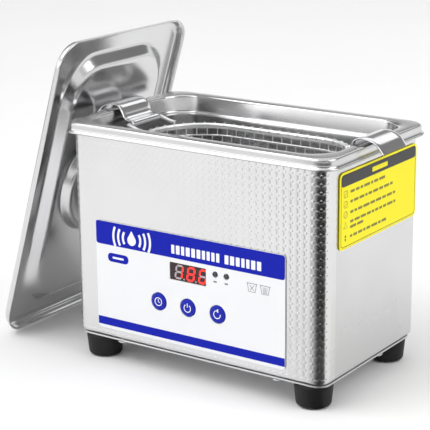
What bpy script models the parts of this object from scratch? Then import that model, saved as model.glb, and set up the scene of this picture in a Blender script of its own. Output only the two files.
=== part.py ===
"""Benchtop ultrasonic cleaner, 0.8 litre class, with a lift-out basket and a loose lid.

The unit stands on its rubber feet with the basket hanging in the tank, and the lid stands on
its short edge and leans on the left basket handle. All sizes are in millimetres and are turned
into metres where the geometry is made. X is the width, Y the depth (front face at -Y), Z is up,
and the origin is the centre of the whole object's footprint, on the table.
"""
import bmesh
import bpy
import math
from mathutils import Vector

MM = 0.001
GAP = 0.3  # left between pieces that touch

# ---- driving dimensions -------------------------------------------------------------------
FLANGE_X = 88.0  # half length of the tank flange, a one-ninth gastronorm pressing
FLANGE_Y = 54.0
TOP_Z = 140.0  # upper face of the flange
SHEET = 0.8  # tank and lid sheet

HOUSE_X = 84.3  # half width of the housing
HOUSE_FRONT = -51.9
HOUSE_BACK = 51.9
HOUSE_R = 8.0
HOUSE_REAR_R = 5.0
HOUSE_SHEET = 0.9
HOUSE_BOTTOM = 14.8
HOUSE_TOP = 137.4

PLATE_Z = 13.4  # underside of the base plate
PLATE_T = 1.0
FOOT_X = 71.8
FOOT_Y = 41.0
FOOT_TOP_R = 11.0
FOOT_BOTTOM_R = 9.8

TANK_FLOOR = 75.0  # upper face of the tank floor, 65 mm below the flange
LEDGE_Z = 129.4

PANEL_X = (-66.8, 60.8)  # front overlay
PANEL_Z = (20.6, 85.0)
PANEL_T = 0.6
PANEL_BACK = HOUSE_FRONT - GAP
PANEL_FRONT = PANEL_BACK - PANEL_T
DISPLAY = (-2.6, 63.6, 24.6, 10.2)  # centre x, centre z, width, height of the window
LED_AT = ((15.8, 66.5), (23.2, 66.5))
BUTTON_Z = 43.8
BUTTON_AT = (("time", -22.8), ("power", -2.8), ("reset", 17.2))
BUTTON_R = 5.1
BUTTON_PROUD = 0.6
BUTTON_TRAVEL = 0.5
BOARD_FRONT = -45.4
BOARD_T = 1.6

HANDLE_W = 27.0  # basket handle strip
HANDLE_T = 0.8
CURL = (70.7, 132.2)
CURL_R = 1.9
BASKET_TOP = 125.4
BASKET_BOTTOM = 84.0
BASKET_X, BASKET_Y = 64.0, 34.0
RIM_R = 1.3
HANGER_R = 1.1
HANGER_Y = 15.4

LID_X = 93.9  # half length of the lid's plate
LID_Y = 57.4
LID_LIP = 5.6
LID_FLARE = 2.3  # how far the lip spreads beyond the plate
LID_PLUG = 7.0  # depth of the pressed plug that drops into the tank
LID_WELL = 13.0  # depth of the round handle well
LID_LEAN = math.radians(17.0)
LID_AT_X = -117.4
LID_AT_Y = 5.3

INLET = (-44.0, 42.0)  # x and z of the mains inlet on the back panel


# ---- helpers ------------------------------------------------------------------------------
def clear_scene():
    for obj in list(bpy.data.objects):
        bpy.data.objects.remove(obj, do_unlink=True)


def collection(name):
    made = bpy.data.collections.new(name)
    bpy.context.scene.collection.children.link(made)
    return made


def material(name, colour, roughness, metallic):
    mat = bpy.data.materials.new(name)
    mat.use_nodes = True
    shader = mat.node_tree.nodes["Principled BSDF"]
    shader.inputs["Base Color"].default_value = (*colour, 1.0)
    shader.inputs["Roughness"].default_value = roughness
    shader.inputs["Metallic"].default_value = metallic
    mat.diffuse_color = (*colour, 1.0)
    return mat


def empty(name, at, parent=None, tilt=0.0):
    """An empty at a point in millimetres; tilt turns it about Y."""
    obj = bpy.data.objects.new(name, None)
    PARTS.objects.link(obj)
    obj.location = Vector(at) * MM
    obj.rotation_euler = (0.0, tilt, 0.0)
    obj.parent = parent
    return obj


def place(obj, at, parent, mat, turn=(0.0, 0.0, 0.0)):
    obj.location = Vector(at) * MM
    obj.rotation_euler = turn
    obj.parent = parent
    if mat:
        obj.data.materials.append(mat)
    return obj


def mesh_object(name, bm, at, parent, mat, turn=(0.0, 0.0, 0.0), smooth=True):
    mesh = bpy.data.meshes.new(name)
    bm.to_mesh(mesh)
    bm.free()
    obj = bpy.data.objects.new(name, mesh)
    PARTS.objects.link(obj)
    if smooth:
        mesh.shade_smooth()
        mesh.set_sharp_from_angle(angle=math.radians(35))
    return place(obj, at, parent, mat, turn)


def box(name, size, at, mat, parent=None, bevel=0.0):
    """A box of full size (x, y, z), centred at a point, with rounded edges."""
    bm = bmesh.new()
    bmesh.ops.create_cube(bm, size=1.0)
    bmesh.ops.scale(bm, vec=Vector(size) * MM, verts=bm.verts)
    obj = mesh_object(name, bm, at, parent or UNIT, mat, smooth=False)
    if bevel:
        rounding = obj.modifiers.new("rounded_edges", "BEVEL")
        rounding.width = bevel * MM
        rounding.segments = 2
    return obj


def turned(name, profile, at, mat, parent=None, turn=(0.0, 0.0, 0.0), steps=24, closed=False):
    """A turned piece: (radius, height) points from the top down its outer side."""
    bm = bmesh.new()
    verts = [bm.verts.new((r * MM, 0.0, z * MM)) for r, z in profile]
    for a, b in zip(verts, verts[1:] + verts[:1] if closed else verts[1:]):
        bm.edges.new((a, b))
    obj = mesh_object(name, bm, at, parent or UNIT, mat, turn, smooth=False)
    screw = obj.modifiers.new("turning", "SCREW")
    screw.steps = screw.render_steps = steps
    screw.use_merge_vertices = True
    screw.merge_threshold = 0.00001
    screw.use_smooth_shade = True
    return obj


def rounded_outline(half_x, half_y, radius, segments=4, centre=(0.0, 0.0)):
    """Points of a rounded rectangle, counter-clockwise from its lower right corner."""
    points = []
    for quarter, (sx, sy) in enumerate(((1, -1), (1, 1), (-1, 1), (-1, -1))):
        cx = centre[0] + sx * (half_x - radius)
        cy = centre[1] + sy * (half_y - radius)
        for step in range(segments + 1):
            angle = math.radians(-90 + 90 * (quarter + step / segments))
            points.append((cx + radius * math.cos(angle), cy + radius * math.sin(angle)))
    return points


def ray_outline(half_x, half_y, radius, angles):
    """Where rays from the centre at the given angles meet a rounded rectangle."""
    points = []
    corner_x, corner_y = half_x - radius, half_y - radius
    for angle in angles:
        dx, dy = math.cos(angle), math.sin(angle)
        reach = min(half_x / max(abs(dx), 1e-9), half_y / max(abs(dy), 1e-9))
        if reach * abs(dx) > corner_x and reach * abs(dy) > corner_y:
            along = abs(dx) * corner_x + abs(dy) * corner_y
            reach = along + math.sqrt(along**2 - corner_x**2 - corner_y**2 + radius**2)
        points.append((reach * dx, reach * dy))
    return points


def circle_outline(radius, centre, count=16):
    turn = 2 * math.pi / count
    return [
        (centre[0] + radius * math.cos(i * turn), centre[1] + radius * math.sin(i * turn))
        for i in range(count)
    ]


def plate(name, outlines, thickness, at, mat, parent=None, turn=(0.0, 0.0, 0.0)):
    """A flat plate: the first outline is its edge and the others are holes."""
    curve = bpy.data.curves.new(name, "CURVE")
    curve.dimensions = "2D"
    curve.fill_mode = "BOTH"
    curve.extrude = thickness / 2 * MM
    for outline in outlines:
        spline = curve.splines.new("POLY")
        spline.points.add(len(outline) - 1)
        for point, (x, y) in zip(spline.points, outline):
            point.co = (x * MM, y * MM, 0.0, 1.0)
        spline.use_cyclic_u = True
    obj = bpy.data.objects.new(name, curve)
    PARTS.objects.link(obj)
    return place(obj, at, parent or UNIT, mat, turn)


def wire(name, points, radius, mat, parent=None, cyclic=False):
    """A round wire through points, in millimetres in the parent's frame."""
    curve = bpy.data.curves.new(name, "CURVE")
    curve.dimensions = "3D"
    curve.bevel_depth = radius * MM
    curve.bevel_resolution = 2
    curve.use_fill_caps = not cyclic
    spline = curve.splines.new("POLY")
    spline.points.add(len(points) - 1)
    for point, co in zip(spline.points, points):
        point.co = (*(Vector(co) * MM), 1.0)
    spline.use_cyclic_u = cyclic
    obj = bpy.data.objects.new(name, curve)
    PARTS.objects.link(obj)
    return place(obj, (0, 0, 0), parent or UNIT, mat)


def smooth_route(points, steps=5):
    """Points of a Catmull-Rom curve through the given ones."""
    ends = [Vector(p) for p in (points[0], *points, points[-1])]
    route = []
    for a, b, c, d in zip(ends, ends[1:], ends[2:], ends[3:]):
        for i in range(steps):
            t = i / steps
            route.append(
                0.5 * (2 * b + (c - a) * t + (2 * a - 5 * b + 4 * c - d) * t**2
                       + (3 * b - a - 3 * c + d) * t**3)
            )
    return route + [ends[-1]]


def sheet_loft(name, rings, thickness, mat, parent=None, cap=True):
    """A pressed sheet: closed rings of equal count from the rim inward, made thick below."""
    bm = bmesh.new()
    rows = [[bm.verts.new(Vector(p) * MM) for p in ring] for ring in rings]
    count = len(rows[0])
    for outer, inner in zip(rows, rows[1:]):
        for i in range(count):
            j = (i + 1) % count
            bm.faces.new((outer[i], outer[j], inner[j], inner[i]))
    if cap:
        bm.faces.new(rows[-1])
    obj = mesh_object(name, bm, (0, 0, 0), parent or UNIT, mat)
    return thicken(obj, thickness)


def thicken(obj, thickness):
    """Solidify away from the face normals' side."""
    shell = obj.modifiers.new("sheet", "SOLIDIFY")
    shell.thickness = thickness * MM
    shell.offset = -1.0
    shell.use_even_offset = True
    return obj


def strip(name, path, width, thickness, mat, parent):
    """A bent sheet strip: (x, z) points of its middle line, carried across its width in Y."""
    bm = bmesh.new()
    edges = (-width / 2, width / 2)
    rows = [[bm.verts.new(Vector((x, y, z)) * MM) for y in edges] for x, z in path]
    for a, b in zip(rows, rows[1:]):
        bm.faces.new((a[0], a[1], b[1], b[0]))
    obj = mesh_object(name, bm, (0, 0, 0), parent, mat)
    thicken(obj, thickness).modifiers["sheet"].offset = 0.0
    return obj


def cut(obj, name, cutter):
    """Takes a cutter object away from a piece."""
    for home in list(cutter.users_collection):
        home.objects.unlink(cutter)
    CUTTERS.objects.link(cutter)
    cutter.hide_render = True
    cutter.display_type = "WIRE"
    hole = obj.modifiers.new(name, "BOOLEAN")
    hole.operation = "DIFFERENCE"
    hole.object = cutter


def join(obj, name, piece):
    """Unites a piece with another, whose object then only guides the union."""
    cut(obj, name, piece)
    obj.modifiers[name].operation = "UNION"


def round_cutter(name, radius, length, at, turn=(0.0, 0.0, 0.0)):
    profile = ((0, length / 2), (radius, length / 2), (radius, -length / 2), (0, -length / 2))
    return turned(name, profile, at, None, turn=turn, steps=16)


def level(outline, z):
    return [(x, y, z) for x, y in outline]


FACE_FRONT = (math.radians(90), 0.0, 0.0)  # a piece's +Z turned to -Y, out of the front face
FACE_BACK = (math.radians(-90), 0.0, 0.0)
FACE_RIGHT = (math.radians(90), 0.0, math.radians(90))  # plate in the YZ plane, facing +X


# ---- tank and housing -----------------------------------------------------------------------
def make_tank(steel, rubber):
    """Flange with a turned-down, flared lip, a shallow recess with a ledge, and the tank."""
    sections = (  # inset from the flange edge, corner radius, height
        (-1.6, 11.6, TOP_Z - 5.6),
        (-0.4, 10.4, TOP_Z - 4.6),
        (0.0, 10.0, TOP_Z - 1.4),
        (0.5, 9.6, TOP_Z - 0.4),
        (1.4, 9.0, TOP_Z),
        (6.8, 18.6, TOP_Z),
        (7.8, 18.0, TOP_Z - 0.8),
        (8.3, 17.6, TOP_Z - 2.2),
        (8.6, 17.4, LEDGE_Z + 1.6),
        (9.4, 16.8, LEDGE_Z),
        (12.0, 15.4, LEDGE_Z - 0.2),
        (12.9, 14.8, LEDGE_Z - 1.4),
        (14.6, 14.0, TANK_FLOOR + 5.0),
        (16.2, 13.0, TANK_FLOOR + 1.2),
        (19.6, 10.0, TANK_FLOOR),
    )
    rings = [
        level(rounded_outline(FLANGE_X - inset, FLANGE_Y - inset, radius), z)
        for inset, radius, z in sections
    ]
    sheet_loft("tank", rings, SHEET, steel)

    seal_x, seal_y = FLANGE_X - 4.4, FLANGE_Y - 3.0
    plate(
        "flange_gasket",
        [rounded_outline(seal_x, seal_y, 8.0), rounded_outline(seal_x - 2.4, seal_y - 2.4, 6.0)],
        TOP_Z - SHEET - HOUSE_TOP - 2 * GAP,
        (0, 0, (TOP_Z - SHEET + HOUSE_TOP) / 2),
        rubber,
    )


def wrap_path(inset):
    """Plan of the wrapped housing sheet: back return, left, front, right, back return."""
    back_face = HOUSE_BACK - PLATE_T - GAP
    return_end = 70.0
    corners = (
        (-HOUSE_X, back_face, HOUSE_REAR_R, 90),
        (-HOUSE_X, HOUSE_FRONT, HOUSE_R, 180),
        (HOUSE_X, HOUSE_FRONT, HOUSE_R, 270),
        (HOUSE_X, back_face, HOUSE_REAR_R, 0),
    )
    points = [(-return_end, back_face - inset)]
    for x, y, radius, start in corners:
        r = max(radius - inset, 0.3)
        cx = x - math.copysign(inset + r, x)
        cy = y - math.copysign(inset + r, y)
        for step in range(6):
            angle = math.radians(start + 18 * step)
            points.append((cx + r * math.cos(angle), cy + r * math.sin(angle)))
    points.append((return_end, back_face - inset))
    return points


def make_housing(steel, screw_steel):
    """The wrapped sheet with bottom and top returns, its back panel, base plate and screws."""
    profile = (  # inset from the housing face, height
        (6.0, HOUSE_BOTTOM),
        (2.2, HOUSE_BOTTOM),
        (0.7, HOUSE_BOTTOM + 0.7),
        (0.0, HOUSE_BOTTOM + 2.2),
        (0.0, HOUSE_TOP - 1.0),
        (0.3, HOUSE_TOP - 0.3),
        (1.0, HOUSE_TOP),
        (3.2, HOUSE_TOP),
    )
    bm = bmesh.new()
    rows = [[bm.verts.new(Vector((x, y, z)) * MM) for x, y in wrap_path(d)] for d, z in profile]
    for low, high in zip(rows, rows[1:]):
        for i in range(len(low) - 1):
            bm.faces.new((low[i], low[i + 1], high[i + 1], high[i]))
    wrap = thicken(mesh_object("housing_wrap", bm, (0, 0, 0), UNIT, steel), HOUSE_SHEET)

    window = box("control_window_cut", (59.0, 12.0, 36.0), (-1.3, HOUSE_FRONT, 54.6), None)
    cut(wrap, "control_window", window)

    base_screws = ((-53, -48.2), (53, -48.2), (-80.6, 14), (80.6, 14))
    back_screws = [(x, z) for x in (-76, 76) for z in (28, 122)]
    for i, (x, y) in enumerate(base_screws):
        hole = round_cutter(f"base_hole_cut_{i}", 1.8, 6.0, (x, y, HOUSE_BOTTOM))
        cut(wrap, f"base_hole_{i}", hole)
        head = PLATE_Z - GAP
        turned(
            f"base_screw_{i + 1}",
            ((0, 6.6), (1.45, 6.6), (1.45, 0), (3.0, 0), (2.9, -0.8), (2.2, -1.5), (0, -1.6)),
            (x, y, head),
            screw_steel,
            steps=12,
        )
    for i, (x, z) in enumerate(back_screws):
        at = (x, HOUSE_BACK - PLATE_T, z)
        cut(wrap, f"back_hole_{i}", round_cutter(f"back_hole_cut_{i}", 1.8, 8.0, at, FACE_BACK))
        turned(
            f"back_screw_{i + 1}",
            ((0, 1.9), (2.2, 1.8), (2.9, 1.1), (3.0, 0.3), (1.45, 0.3), (1.45, -6), (0, -6)),
            (x, HOUSE_BACK, z),
            screw_steel,
            turn=FACE_BACK,
            steps=12,
        )

    vents = [
        rounded_outline(14, 1.3, 1.2, 2, (x, 6.5 * (row - 2)))
        for x in (-34, 34)
        for row in range(5)
    ]
    base_holes = [circle_outline(1.8, at, 12) for at in base_screws]
    foot_holes = [
        circle_outline(2.4, (sx * FOOT_X, sy * FOOT_Y), 12) for sx in (-1, 1) for sy in (-1, 1)
    ]
    plate(
        "base_plate",
        [rounded_outline(HOUSE_X - 1.0, 50.6, 7.0), *vents, *base_holes, *foot_holes],
        PLATE_T,
        (0, 0, PLATE_Z + PLATE_T / 2),
        steel,
    )

    mid_z = (HOUSE_BOTTOM + HOUSE_TOP) / 2
    half_z = (HOUSE_TOP - HOUSE_BOTTOM) / 2
    inlet = rounded_outline(14.0, 10.3, 1.0, 1, (-INLET[0], INLET[1] - mid_z))
    slots = [
        rounded_outline(16, 1.3, 1.2, 2, (-38, 5.2 * (row - 2) - 14)) for row in range(5)
    ]
    holes = [circle_outline(1.8, (-x, z - mid_z), 12) for x, z in back_screws]
    plate(
        "back_panel",
        [rounded_outline(HOUSE_X - HOUSE_REAR_R, half_z, 2.0), inlet, *slots, *holes],
        PLATE_T,
        (0, HOUSE_BACK - PLATE_T / 2, mid_z),
        steel,
        turn=(math.radians(90), 0.0, math.radians(180)),
    )


def make_feet(rubber, screw_steel):
    """Tapered rubber feet with a counterbore for their screws."""
    top = PLATE_Z - GAP
    profile = (
        (FOOT_TOP_R - 0.5, top),
        (FOOT_TOP_R, top - 0.6),
        (FOOT_BOTTOM_R + 0.3, 2.4),
        (FOOT_BOTTOM_R - 0.2, 1.0),
        (FOOT_BOTTOM_R - 1.0, 0.2),
        (FOOT_BOTTOM_R - 1.8, 0.0),
        (5.2, 0.0),
        (5.2, 5.6),
        (2.4, 5.6),
        (2.4, top),
    )
    for side, sx in (("left", -1), ("right", 1)):
        for end, sy in (("front", -1), ("rear", 1)):
            at = (sx * FOOT_X, sy * FOOT_Y, 0)
            turned(f"foot_{end}_{side}", profile, at, rubber, steps=20, closed=True)
            turned(
                f"foot_screw_{end}_{side}",
                ((0, 18.6), (2.0, 18.6), (2.0, 5.2), (3.9, 5.2), (3.7, 3.4), (2.6, 2.5), (0, 2.4)),
                at,
                screw_steel,
                steps=12,
            )


# ---- front controls -------------------------------------------------------------------------
def make_controls(mats):
    """Overlay with its window and holes, display, lamps, buttons, switches and their board."""
    mid_x, mid_z = sum(PANEL_X) / 2, sum(PANEL_Z) / 2
    half_x, half_z = (PANEL_X[1] - PANEL_X[0]) / 2, (PANEL_Z[1] - PANEL_Z[0]) / 2
    dx, dz, dw, dh = DISPLAY
    holes = [rounded_outline(dw / 2, dh / 2, 0.5, 2, (dx - mid_x, dz - mid_z))]
    holes += [circle_outline(1.9, (x - mid_x, z - mid_z), 12) for x, z in LED_AT]
    holes += [
        circle_outline(BUTTON_R + 0.35, (x - mid_x, BUTTON_Z - mid_z), 24) for _, x in BUTTON_AT
    ]
    plate(
        "overlay_panel",
        [rounded_outline(half_x, half_z, 2.0), *holes],
        PANEL_T,
        (mid_x, (PANEL_FRONT + PANEL_BACK) / 2, mid_z),
        mats["panel"],
        turn=FACE_FRONT,
    )
    lens_t = 1.0
    lens_front = PANEL_FRONT + 0.15
    lens_size = (dw - 2 * GAP, lens_t, dh - 2 * GAP)
    box("display_lens", lens_size, (dx, lens_front + lens_t / 2, dz), mats["lens"], bevel=0.15)

    block_front = lens_front + lens_t + GAP
    block_back = BOARD_FRONT - GAP
    box(
        "display_module",
        (dw - 1.6, block_back - block_front, dh - 0.4),
        (dx, (block_front + block_back) / 2, dz),
        mats["dark_plastic"],
        bevel=0.2,
    )
    reach = BOARD_FRONT - GAP - PANEL_FRONT
    dome = [(1.5 * math.cos(a), reach - 1.3 + 1.5 * math.sin(a)) for a in
            (math.radians(d) for d in (60, 30, 0))]
    for i, (x, z) in enumerate(LED_AT):
        turned(
            f"status_led_{i + 1}",
            [(0, reach + 0.2), *dome, (1.5, 1.0), (1.9, 1.0), (1.9, 0), (0, 0)],
            (x, BOARD_FRONT - GAP, z),
            mats["led"],
            turn=FACE_FRONT,
            steps=16,
        )

    flange_front = 0.2 + GAP  # behind the overlay
    face = PANEL_T + BUTTON_PROUD
    for name, x in BUTTON_AT:
        at = (x, PANEL_BACK, BUTTON_Z)
        axis = empty(f"axis_button_{name}", at, UNIT)
        turned(
            f"button_{name}",
            (
                (0, face),
                (BUTTON_R - 1.2, face - 0.05),
                (BUTTON_R - 0.3, face - 0.2),
                (BUTTON_R, face - 0.5),
                (BUTTON_R, -flange_front),
                (BUTTON_R + 1.1, -flange_front),
                (BUTTON_R + 1.1, -flange_front - 0.8),
                (0, -flange_front - 0.8),
            ),
            (0, 0, 0),
            mats["button"],
            parent=axis,
            turn=FACE_FRONT,
            steps=24,
        )
        body_t = 3.4
        plunger_tip = PANEL_BACK + flange_front + 0.8 + BUTTON_TRAVEL + GAP
        switch_back = BOARD_FRONT - GAP
        body = box(
            f"tact_switch_{name}",
            (6.2, body_t, 6.2),
            (x, switch_back - body_t / 2, BUTTON_Z),
            mats["dark_plastic"],
        )
        length = switch_back - 1.0 - plunger_tip
        plunger = round_cutter(
            f"plunger_guide_{name}", 1.7, length, (x, plunger_tip + length / 2, BUTTON_Z), FACE_FRONT
        )
        join(body, "plunger", plunger)

    board_x, board_z = (-37.0, 34.4), (31.0, 78.4)
    spread = (board_x[1] - board_x[0], board_z[1] - board_z[0])
    middle = (sum(board_x) / 2, sum(board_z) / 2)
    box(
        "control_board",
        (spread[0], BOARD_T, spread[1]),
        (middle[0], BOARD_FRONT + BOARD_T / 2, middle[1]),
        mats["board"],
        bevel=0.2,
    )
    frame_depth = BOARD_FRONT - (HOUSE_FRONT + HOUSE_SHEET) - 2 * GAP
    plate(
        "control_frame",
        [
            rounded_outline(spread[0] / 2, spread[1] / 2, 2.0, 2),
            rounded_outline(spread[0] / 2 - 3.0, spread[1] / 2 - 3.0, 1.0, 2),
        ],
        frame_depth,
        (middle[0], BOARD_FRONT - GAP - frame_depth / 2, middle[1]),
        mats["dark_plastic"],
        turn=FACE_FRONT,
    )


# ---- electrics -------------------------------------------------------------------------------
def make_inlet(mats):
    """Three-pin appliance inlet: bezel outside the back panel, body inside, open socket."""
    x, z = INLET
    bezel_t, body_depth = 2.6, 20.0
    bezel = box(
        "mains_inlet", (31.0, bezel_t, 24.0),
        (x, HOUSE_BACK + GAP + bezel_t / 2, z), mats["dark_plastic"],
    )
    body = box(
        "inlet_body_guide", (27.0, body_depth + 0.5, 19.6),
        (x, HOUSE_BACK + GAP + 0.5 - body_depth / 2, z), None,
    )
    join(bezel, "body", body)
    face = HOUSE_BACK + GAP + bezel_t
    socket_depth = 17.0
    socket = box(
        "inlet_socket_cut", (24.4, socket_depth + 2, 16.6),
        (x, face + 1 - socket_depth / 2, z), None,
    )
    cut(bezel, "socket", socket)
    floor = face - socket_depth
    for pin, (px, pz) in (("live", (-7, -2)), ("earth", (0, 2)), ("neutral", (7, -2))):
        blade = box(
            f"inlet_{pin}_guide", (2.0, 14.6, 4.0), (x + px, floor + 6.3, z + pz), None
        )
        join(bezel, f"{pin}_pin", blade)


def make_transducer(mats):
    """Bolt-clamped transducer under the tank floor: horn, two rings, two electrodes, back mass."""
    top = TANK_FLOOR - SHEET - GAP
    horn_h, ring_h, foil, back_h = 20.0, 5.0, 0.5, 10.0
    bore = 5.6
    turned(
        "transducer_front_mass",
        ((0, 0), (22.0, 0), (22.0, -3), (17.5, -horn_h), (0, -horn_h)),
        (0, 0, top),
        mats["aluminium"],
    )
    z = top - horn_h
    for i in (1, 2):
        z -= GAP
        profile = ((17.5, 0), (17.5, -ring_h), (bore + 1, -ring_h), (bore + 1, 0))
        turned(f"piezo_ring_{i}", profile, (0, 0, z), mats["ceramic"], closed=True)
        z -= ring_h + GAP
        tab = [(17.5, -2.0), (24.0, -2.0), (24.0, 2.0), (17.5, 2.0)]
        rim = [(x, y) for x, y in circle_outline(17.5, (0, 0), 32) if x < 17.0]
        side = 1 if i == 1 else -1
        outline = [(side * x, side * y) for x, y in (*tab, *rim)]
        plate(
            f"electrode_{i}",
            [outline, circle_outline(bore + 1, (0, 0))],
            foil,
            (0, 0, z - foil / 2),
            mats["brass"],
        )
        z -= foil
    z -= GAP
    profile = ((17.5, 0), (17.5, -back_h), (bore, -back_h), (bore, 0))
    turned("transducer_back_mass", profile, (0, 0, z), mats["screw"], closed=True)
    z -= back_h + GAP
    shank = top - horn_h - GAP - z
    turned(
        "transducer_bolt",
        ((0, shank), (5.0, shank), (5.0, 0), (8.0, 0), (8.0, -6), (7.4, -6.8), (0, -6.8)),
        (0, 0, z),
        mats["screw"],
        steps=18,
    )


def make_generator(mats):
    """Ultrasonic generator board over the base plate, with its larger components."""
    board_z = 21.6
    at = (53.0, 0.0)
    box("generator_board", (46, 76, BOARD_T), (*at, board_z + BOARD_T / 2), mats["board"], bevel=0.2)
    low = PLATE_Z + PLATE_T + GAP
    height = board_z - GAP - low
    for name, side in (("left", -1), ("right", 1)):
        spot = (at[0] + side * 20, at[1], low + height / 2)
        box(f"board_rail_{name}", (4, 60, height), spot, mats["dark_plastic"], bevel=0.4)
    deck = board_z + BOARD_T + GAP
    box("output_transformer", (26, 26, 21), (45.4, -20, deck + 10.5), mats["ferrite"], bevel=1.0)
    fins = [(0.0, 0.0)]
    for row in range(7):
        y = 6.0 * row
        fins += [(11.0, y), (11.0, y + 1.6)]
        if row < 6:
            fins += [(3.0, y + 1.6), (3.0, y + 6.0)]
    fins += [(0.0, 37.6)]
    plate("heat_sink", [fins], 28.0, (61, -5, deck + 14), mats["aluminium"])
    turned(
        "bulk_capacitor",
        ((0, 25), (7.2, 25), (8.0, 24.2), (8.0, 0), (0, 0)),
        (67.6, -26, deck),
        mats["dark_plastic"],
    )
    routes = {
        "mains_cable": ((-44, 30.6, 42), (-42, 27, 36), (-30, 31, 26), (0, 34, 22), (26, 33, 27),
                        (36, 30, 28), (38, 30, 25.6)),
        "transducer_lead": ((26.8, 0, 47.6), (31, 1, 44), (34, 3, 34), (35, 4, 25.4)),
        "control_cable": ((24, -42.0, 36), (26, -38, 32), (32, -37, 29), (45, -36, 28.5),
                          (50, -36, 25.8)),
    }
    for name, points in routes.items():
        radius = 2.4 if name == "mains_cable" else 1.4
        wire(name, smooth_route(points, 4), radius, mats["wire"])


# ---- basket ----------------------------------------------------------------------------------
def handle_path(side):
    """Middle line of a handle strip, from its outer flap over the flange into the curl."""
    cx, cz = CURL
    bend = [
        (96.4, 135.6), (95.0, 137.4), (93.0, 139.6), (90.6, 141.4), (87.6, 142.6), (84.2, 143.0),
        (80.8, 142.5), (78.4, 140.9), (77.0, 138.6), (76.0, 136.2), (74.4, 134.7), (72.4, 134.2),
    ]
    curl = [
        (cx + CURL_R * math.cos(math.radians(a)), cz + CURL_R * math.sin(math.radians(a)))
        for a in range(100, 371, 30)
    ]
    return [(side * x, z) for x, z in bend + curl]


def make_basket(mats):
    """Mesh basket as a thin-walled bin, its wire rim, hangers and two strip handles."""
    axis = empty("axis_basket", (0, 0, BASKET_TOP), UNIT)
    carrier = empty("basket_origin", (0, 0, -BASKET_TOP), axis)
    wall = 1.4
    outer = (
        (0.0, BASKET_TOP), (3.6, BASKET_BOTTOM + 8), (5.4, BASKET_BOTTOM + 2.2),
        (9.0, BASKET_BOTTOM),
    )
    inner = ((9.6, BASKET_BOTTOM + wall), (6.6, BASKET_BOTTOM + 3.2),
             (5.0, BASKET_BOTTOM + 8), (wall, BASKET_TOP))
    rings = [
        level(rounded_outline(BASKET_X - d, BASKET_Y - d, BASKET_Y - d - 0.5, 6), z)
        for d, z in outer + inner
    ]
    bm = bmesh.new()
    rows = [[bm.verts.new(Vector(p) * MM) for p in ring] for ring in rings]
    count = len(rows[0])
    for k, row in enumerate(rows):
        if k == len(outer) - 1:
            continue  # the floor closes between the two sides
        after = rows[(k + 1) % len(rows)]
        for i in range(count):
            j = (i + 1) % count
            bm.faces.new((row[j], row[i], after[i], after[j]))
    bm.faces.new(rows[len(outer) - 1][::-1])
    bm.faces.new(rows[len(outer)])
    mesh_object("basket_mesh", bm, (0, 0, 0), carrier, mats["mesh"])

    rim_z = BASKET_TOP + GAP + RIM_R
    inset = 0.7
    rim = rounded_outline(BASKET_X - inset, BASKET_Y - inset, BASKET_Y - inset - 0.5, 9)
    wire("basket_rim", level(rim, rim_z), RIM_R, mats["steel"], carrier, cyclic=True)

    end_r = BASKET_Y - inset - 0.5
    end_x = BASKET_X - inset - end_r + math.sqrt(end_r**2 - (HANGER_Y - 0.5) ** 2)
    leg_z = rim_z + RIM_R + GAP + HANGER_R
    for name, side in (("left", -1), ("right", 1)):
        strip(
            f"basket_handle_{name}", handle_path(side), HANDLE_W, HANDLE_T, mats["steel"], carrier
        )
        leg = [
            (end_x, HANGER_Y, leg_z), (end_x + 3.5, HANGER_Y, leg_z + 0.4),
            (CURL[0] - 2.0, HANGER_Y, CURL[1] - 0.5), (CURL[0], HANGER_Y - 0.2, CURL[1]),
        ]
        path = leg + [(x, -y, z) for x, y, z in reversed(leg)]
        points = [(side * x, y, z) for x, y, z in path]
        wire(f"basket_hanger_{name}", points, HANGER_R, mats["steel"], carrier)


# ---- lid --------------------------------------------------------------------------------------
def make_lid(mats):
    """Pressed lid with a flared lip, a plug and a round well bridged by a strap handle.

    Built lying flat with its top face up, then leaned over on its short edge.
    """
    height = (LID_X + LID_FLARE) * math.cos(LID_LEAN) + LID_LIP * math.sin(LID_LEAN)
    lean = LID_LEAN - math.radians(90)
    axis = empty("axis_lid", (LID_AT_X, LID_AT_Y, height), UNIT, tilt=lean)
    corners = [math.atan2(y, x) for x, y in rounded_outline(LID_X, LID_Y, 13.0, 5)]
    sides = [math.radians(a) for a in (-12, 0, 12, 48, 66, 80, 100, 114, 132, 168, 180)]
    sides += [-a for a in sides if abs(math.sin(a)) > 0.25] + [math.radians(-168)]
    angles = sorted(corners + sides)
    sections = (  # inset, corner radius, height
        (-LID_FLARE, 15.3, -LID_LIP),
        (-1.1, 14.1, -3.4),
        (-0.2, 13.2, -1.6),
        (0.4, 12.6, -0.4),
        (1.3, 11.9, 0.0),
        (10.6, 24.0, 0.0),
        (12.6, 23.0, -0.8),
        (16.6, 21.5, -LID_PLUG + SHEET + 1.4),
        (19.4, 20.0, -LID_PLUG + SHEET),
    )
    rings = [
        level(ray_outline(LID_X - inset, LID_Y - inset, radius, angles), z)
        for inset, radius, z in sections
    ]
    for radius, z in (
        (36.0, -LID_PLUG + SHEET), (34.2, -LID_PLUG - 0.4), (33.0, -LID_WELL + 2.2),
        (31.0, -LID_WELL + SHEET),
    ):
        rings.append([(radius * math.cos(a), radius * math.sin(a), z) for a in angles])
    sheet_loft("lid", rings, SHEET, mats["steel"], parent=axis)

    foot_z = -LID_PLUG + SHEET + GAP + 0.8
    path = [(-44, foot_z), (-38.5, foot_z), (-33, -2.6), (-27, -1.4), (27, -1.4), (33, -2.6),
            (38.5, foot_z), (44, foot_z)]
    strip("lid_handle", path, 16.0, 1.6, mats["steel"], axis)


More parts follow.
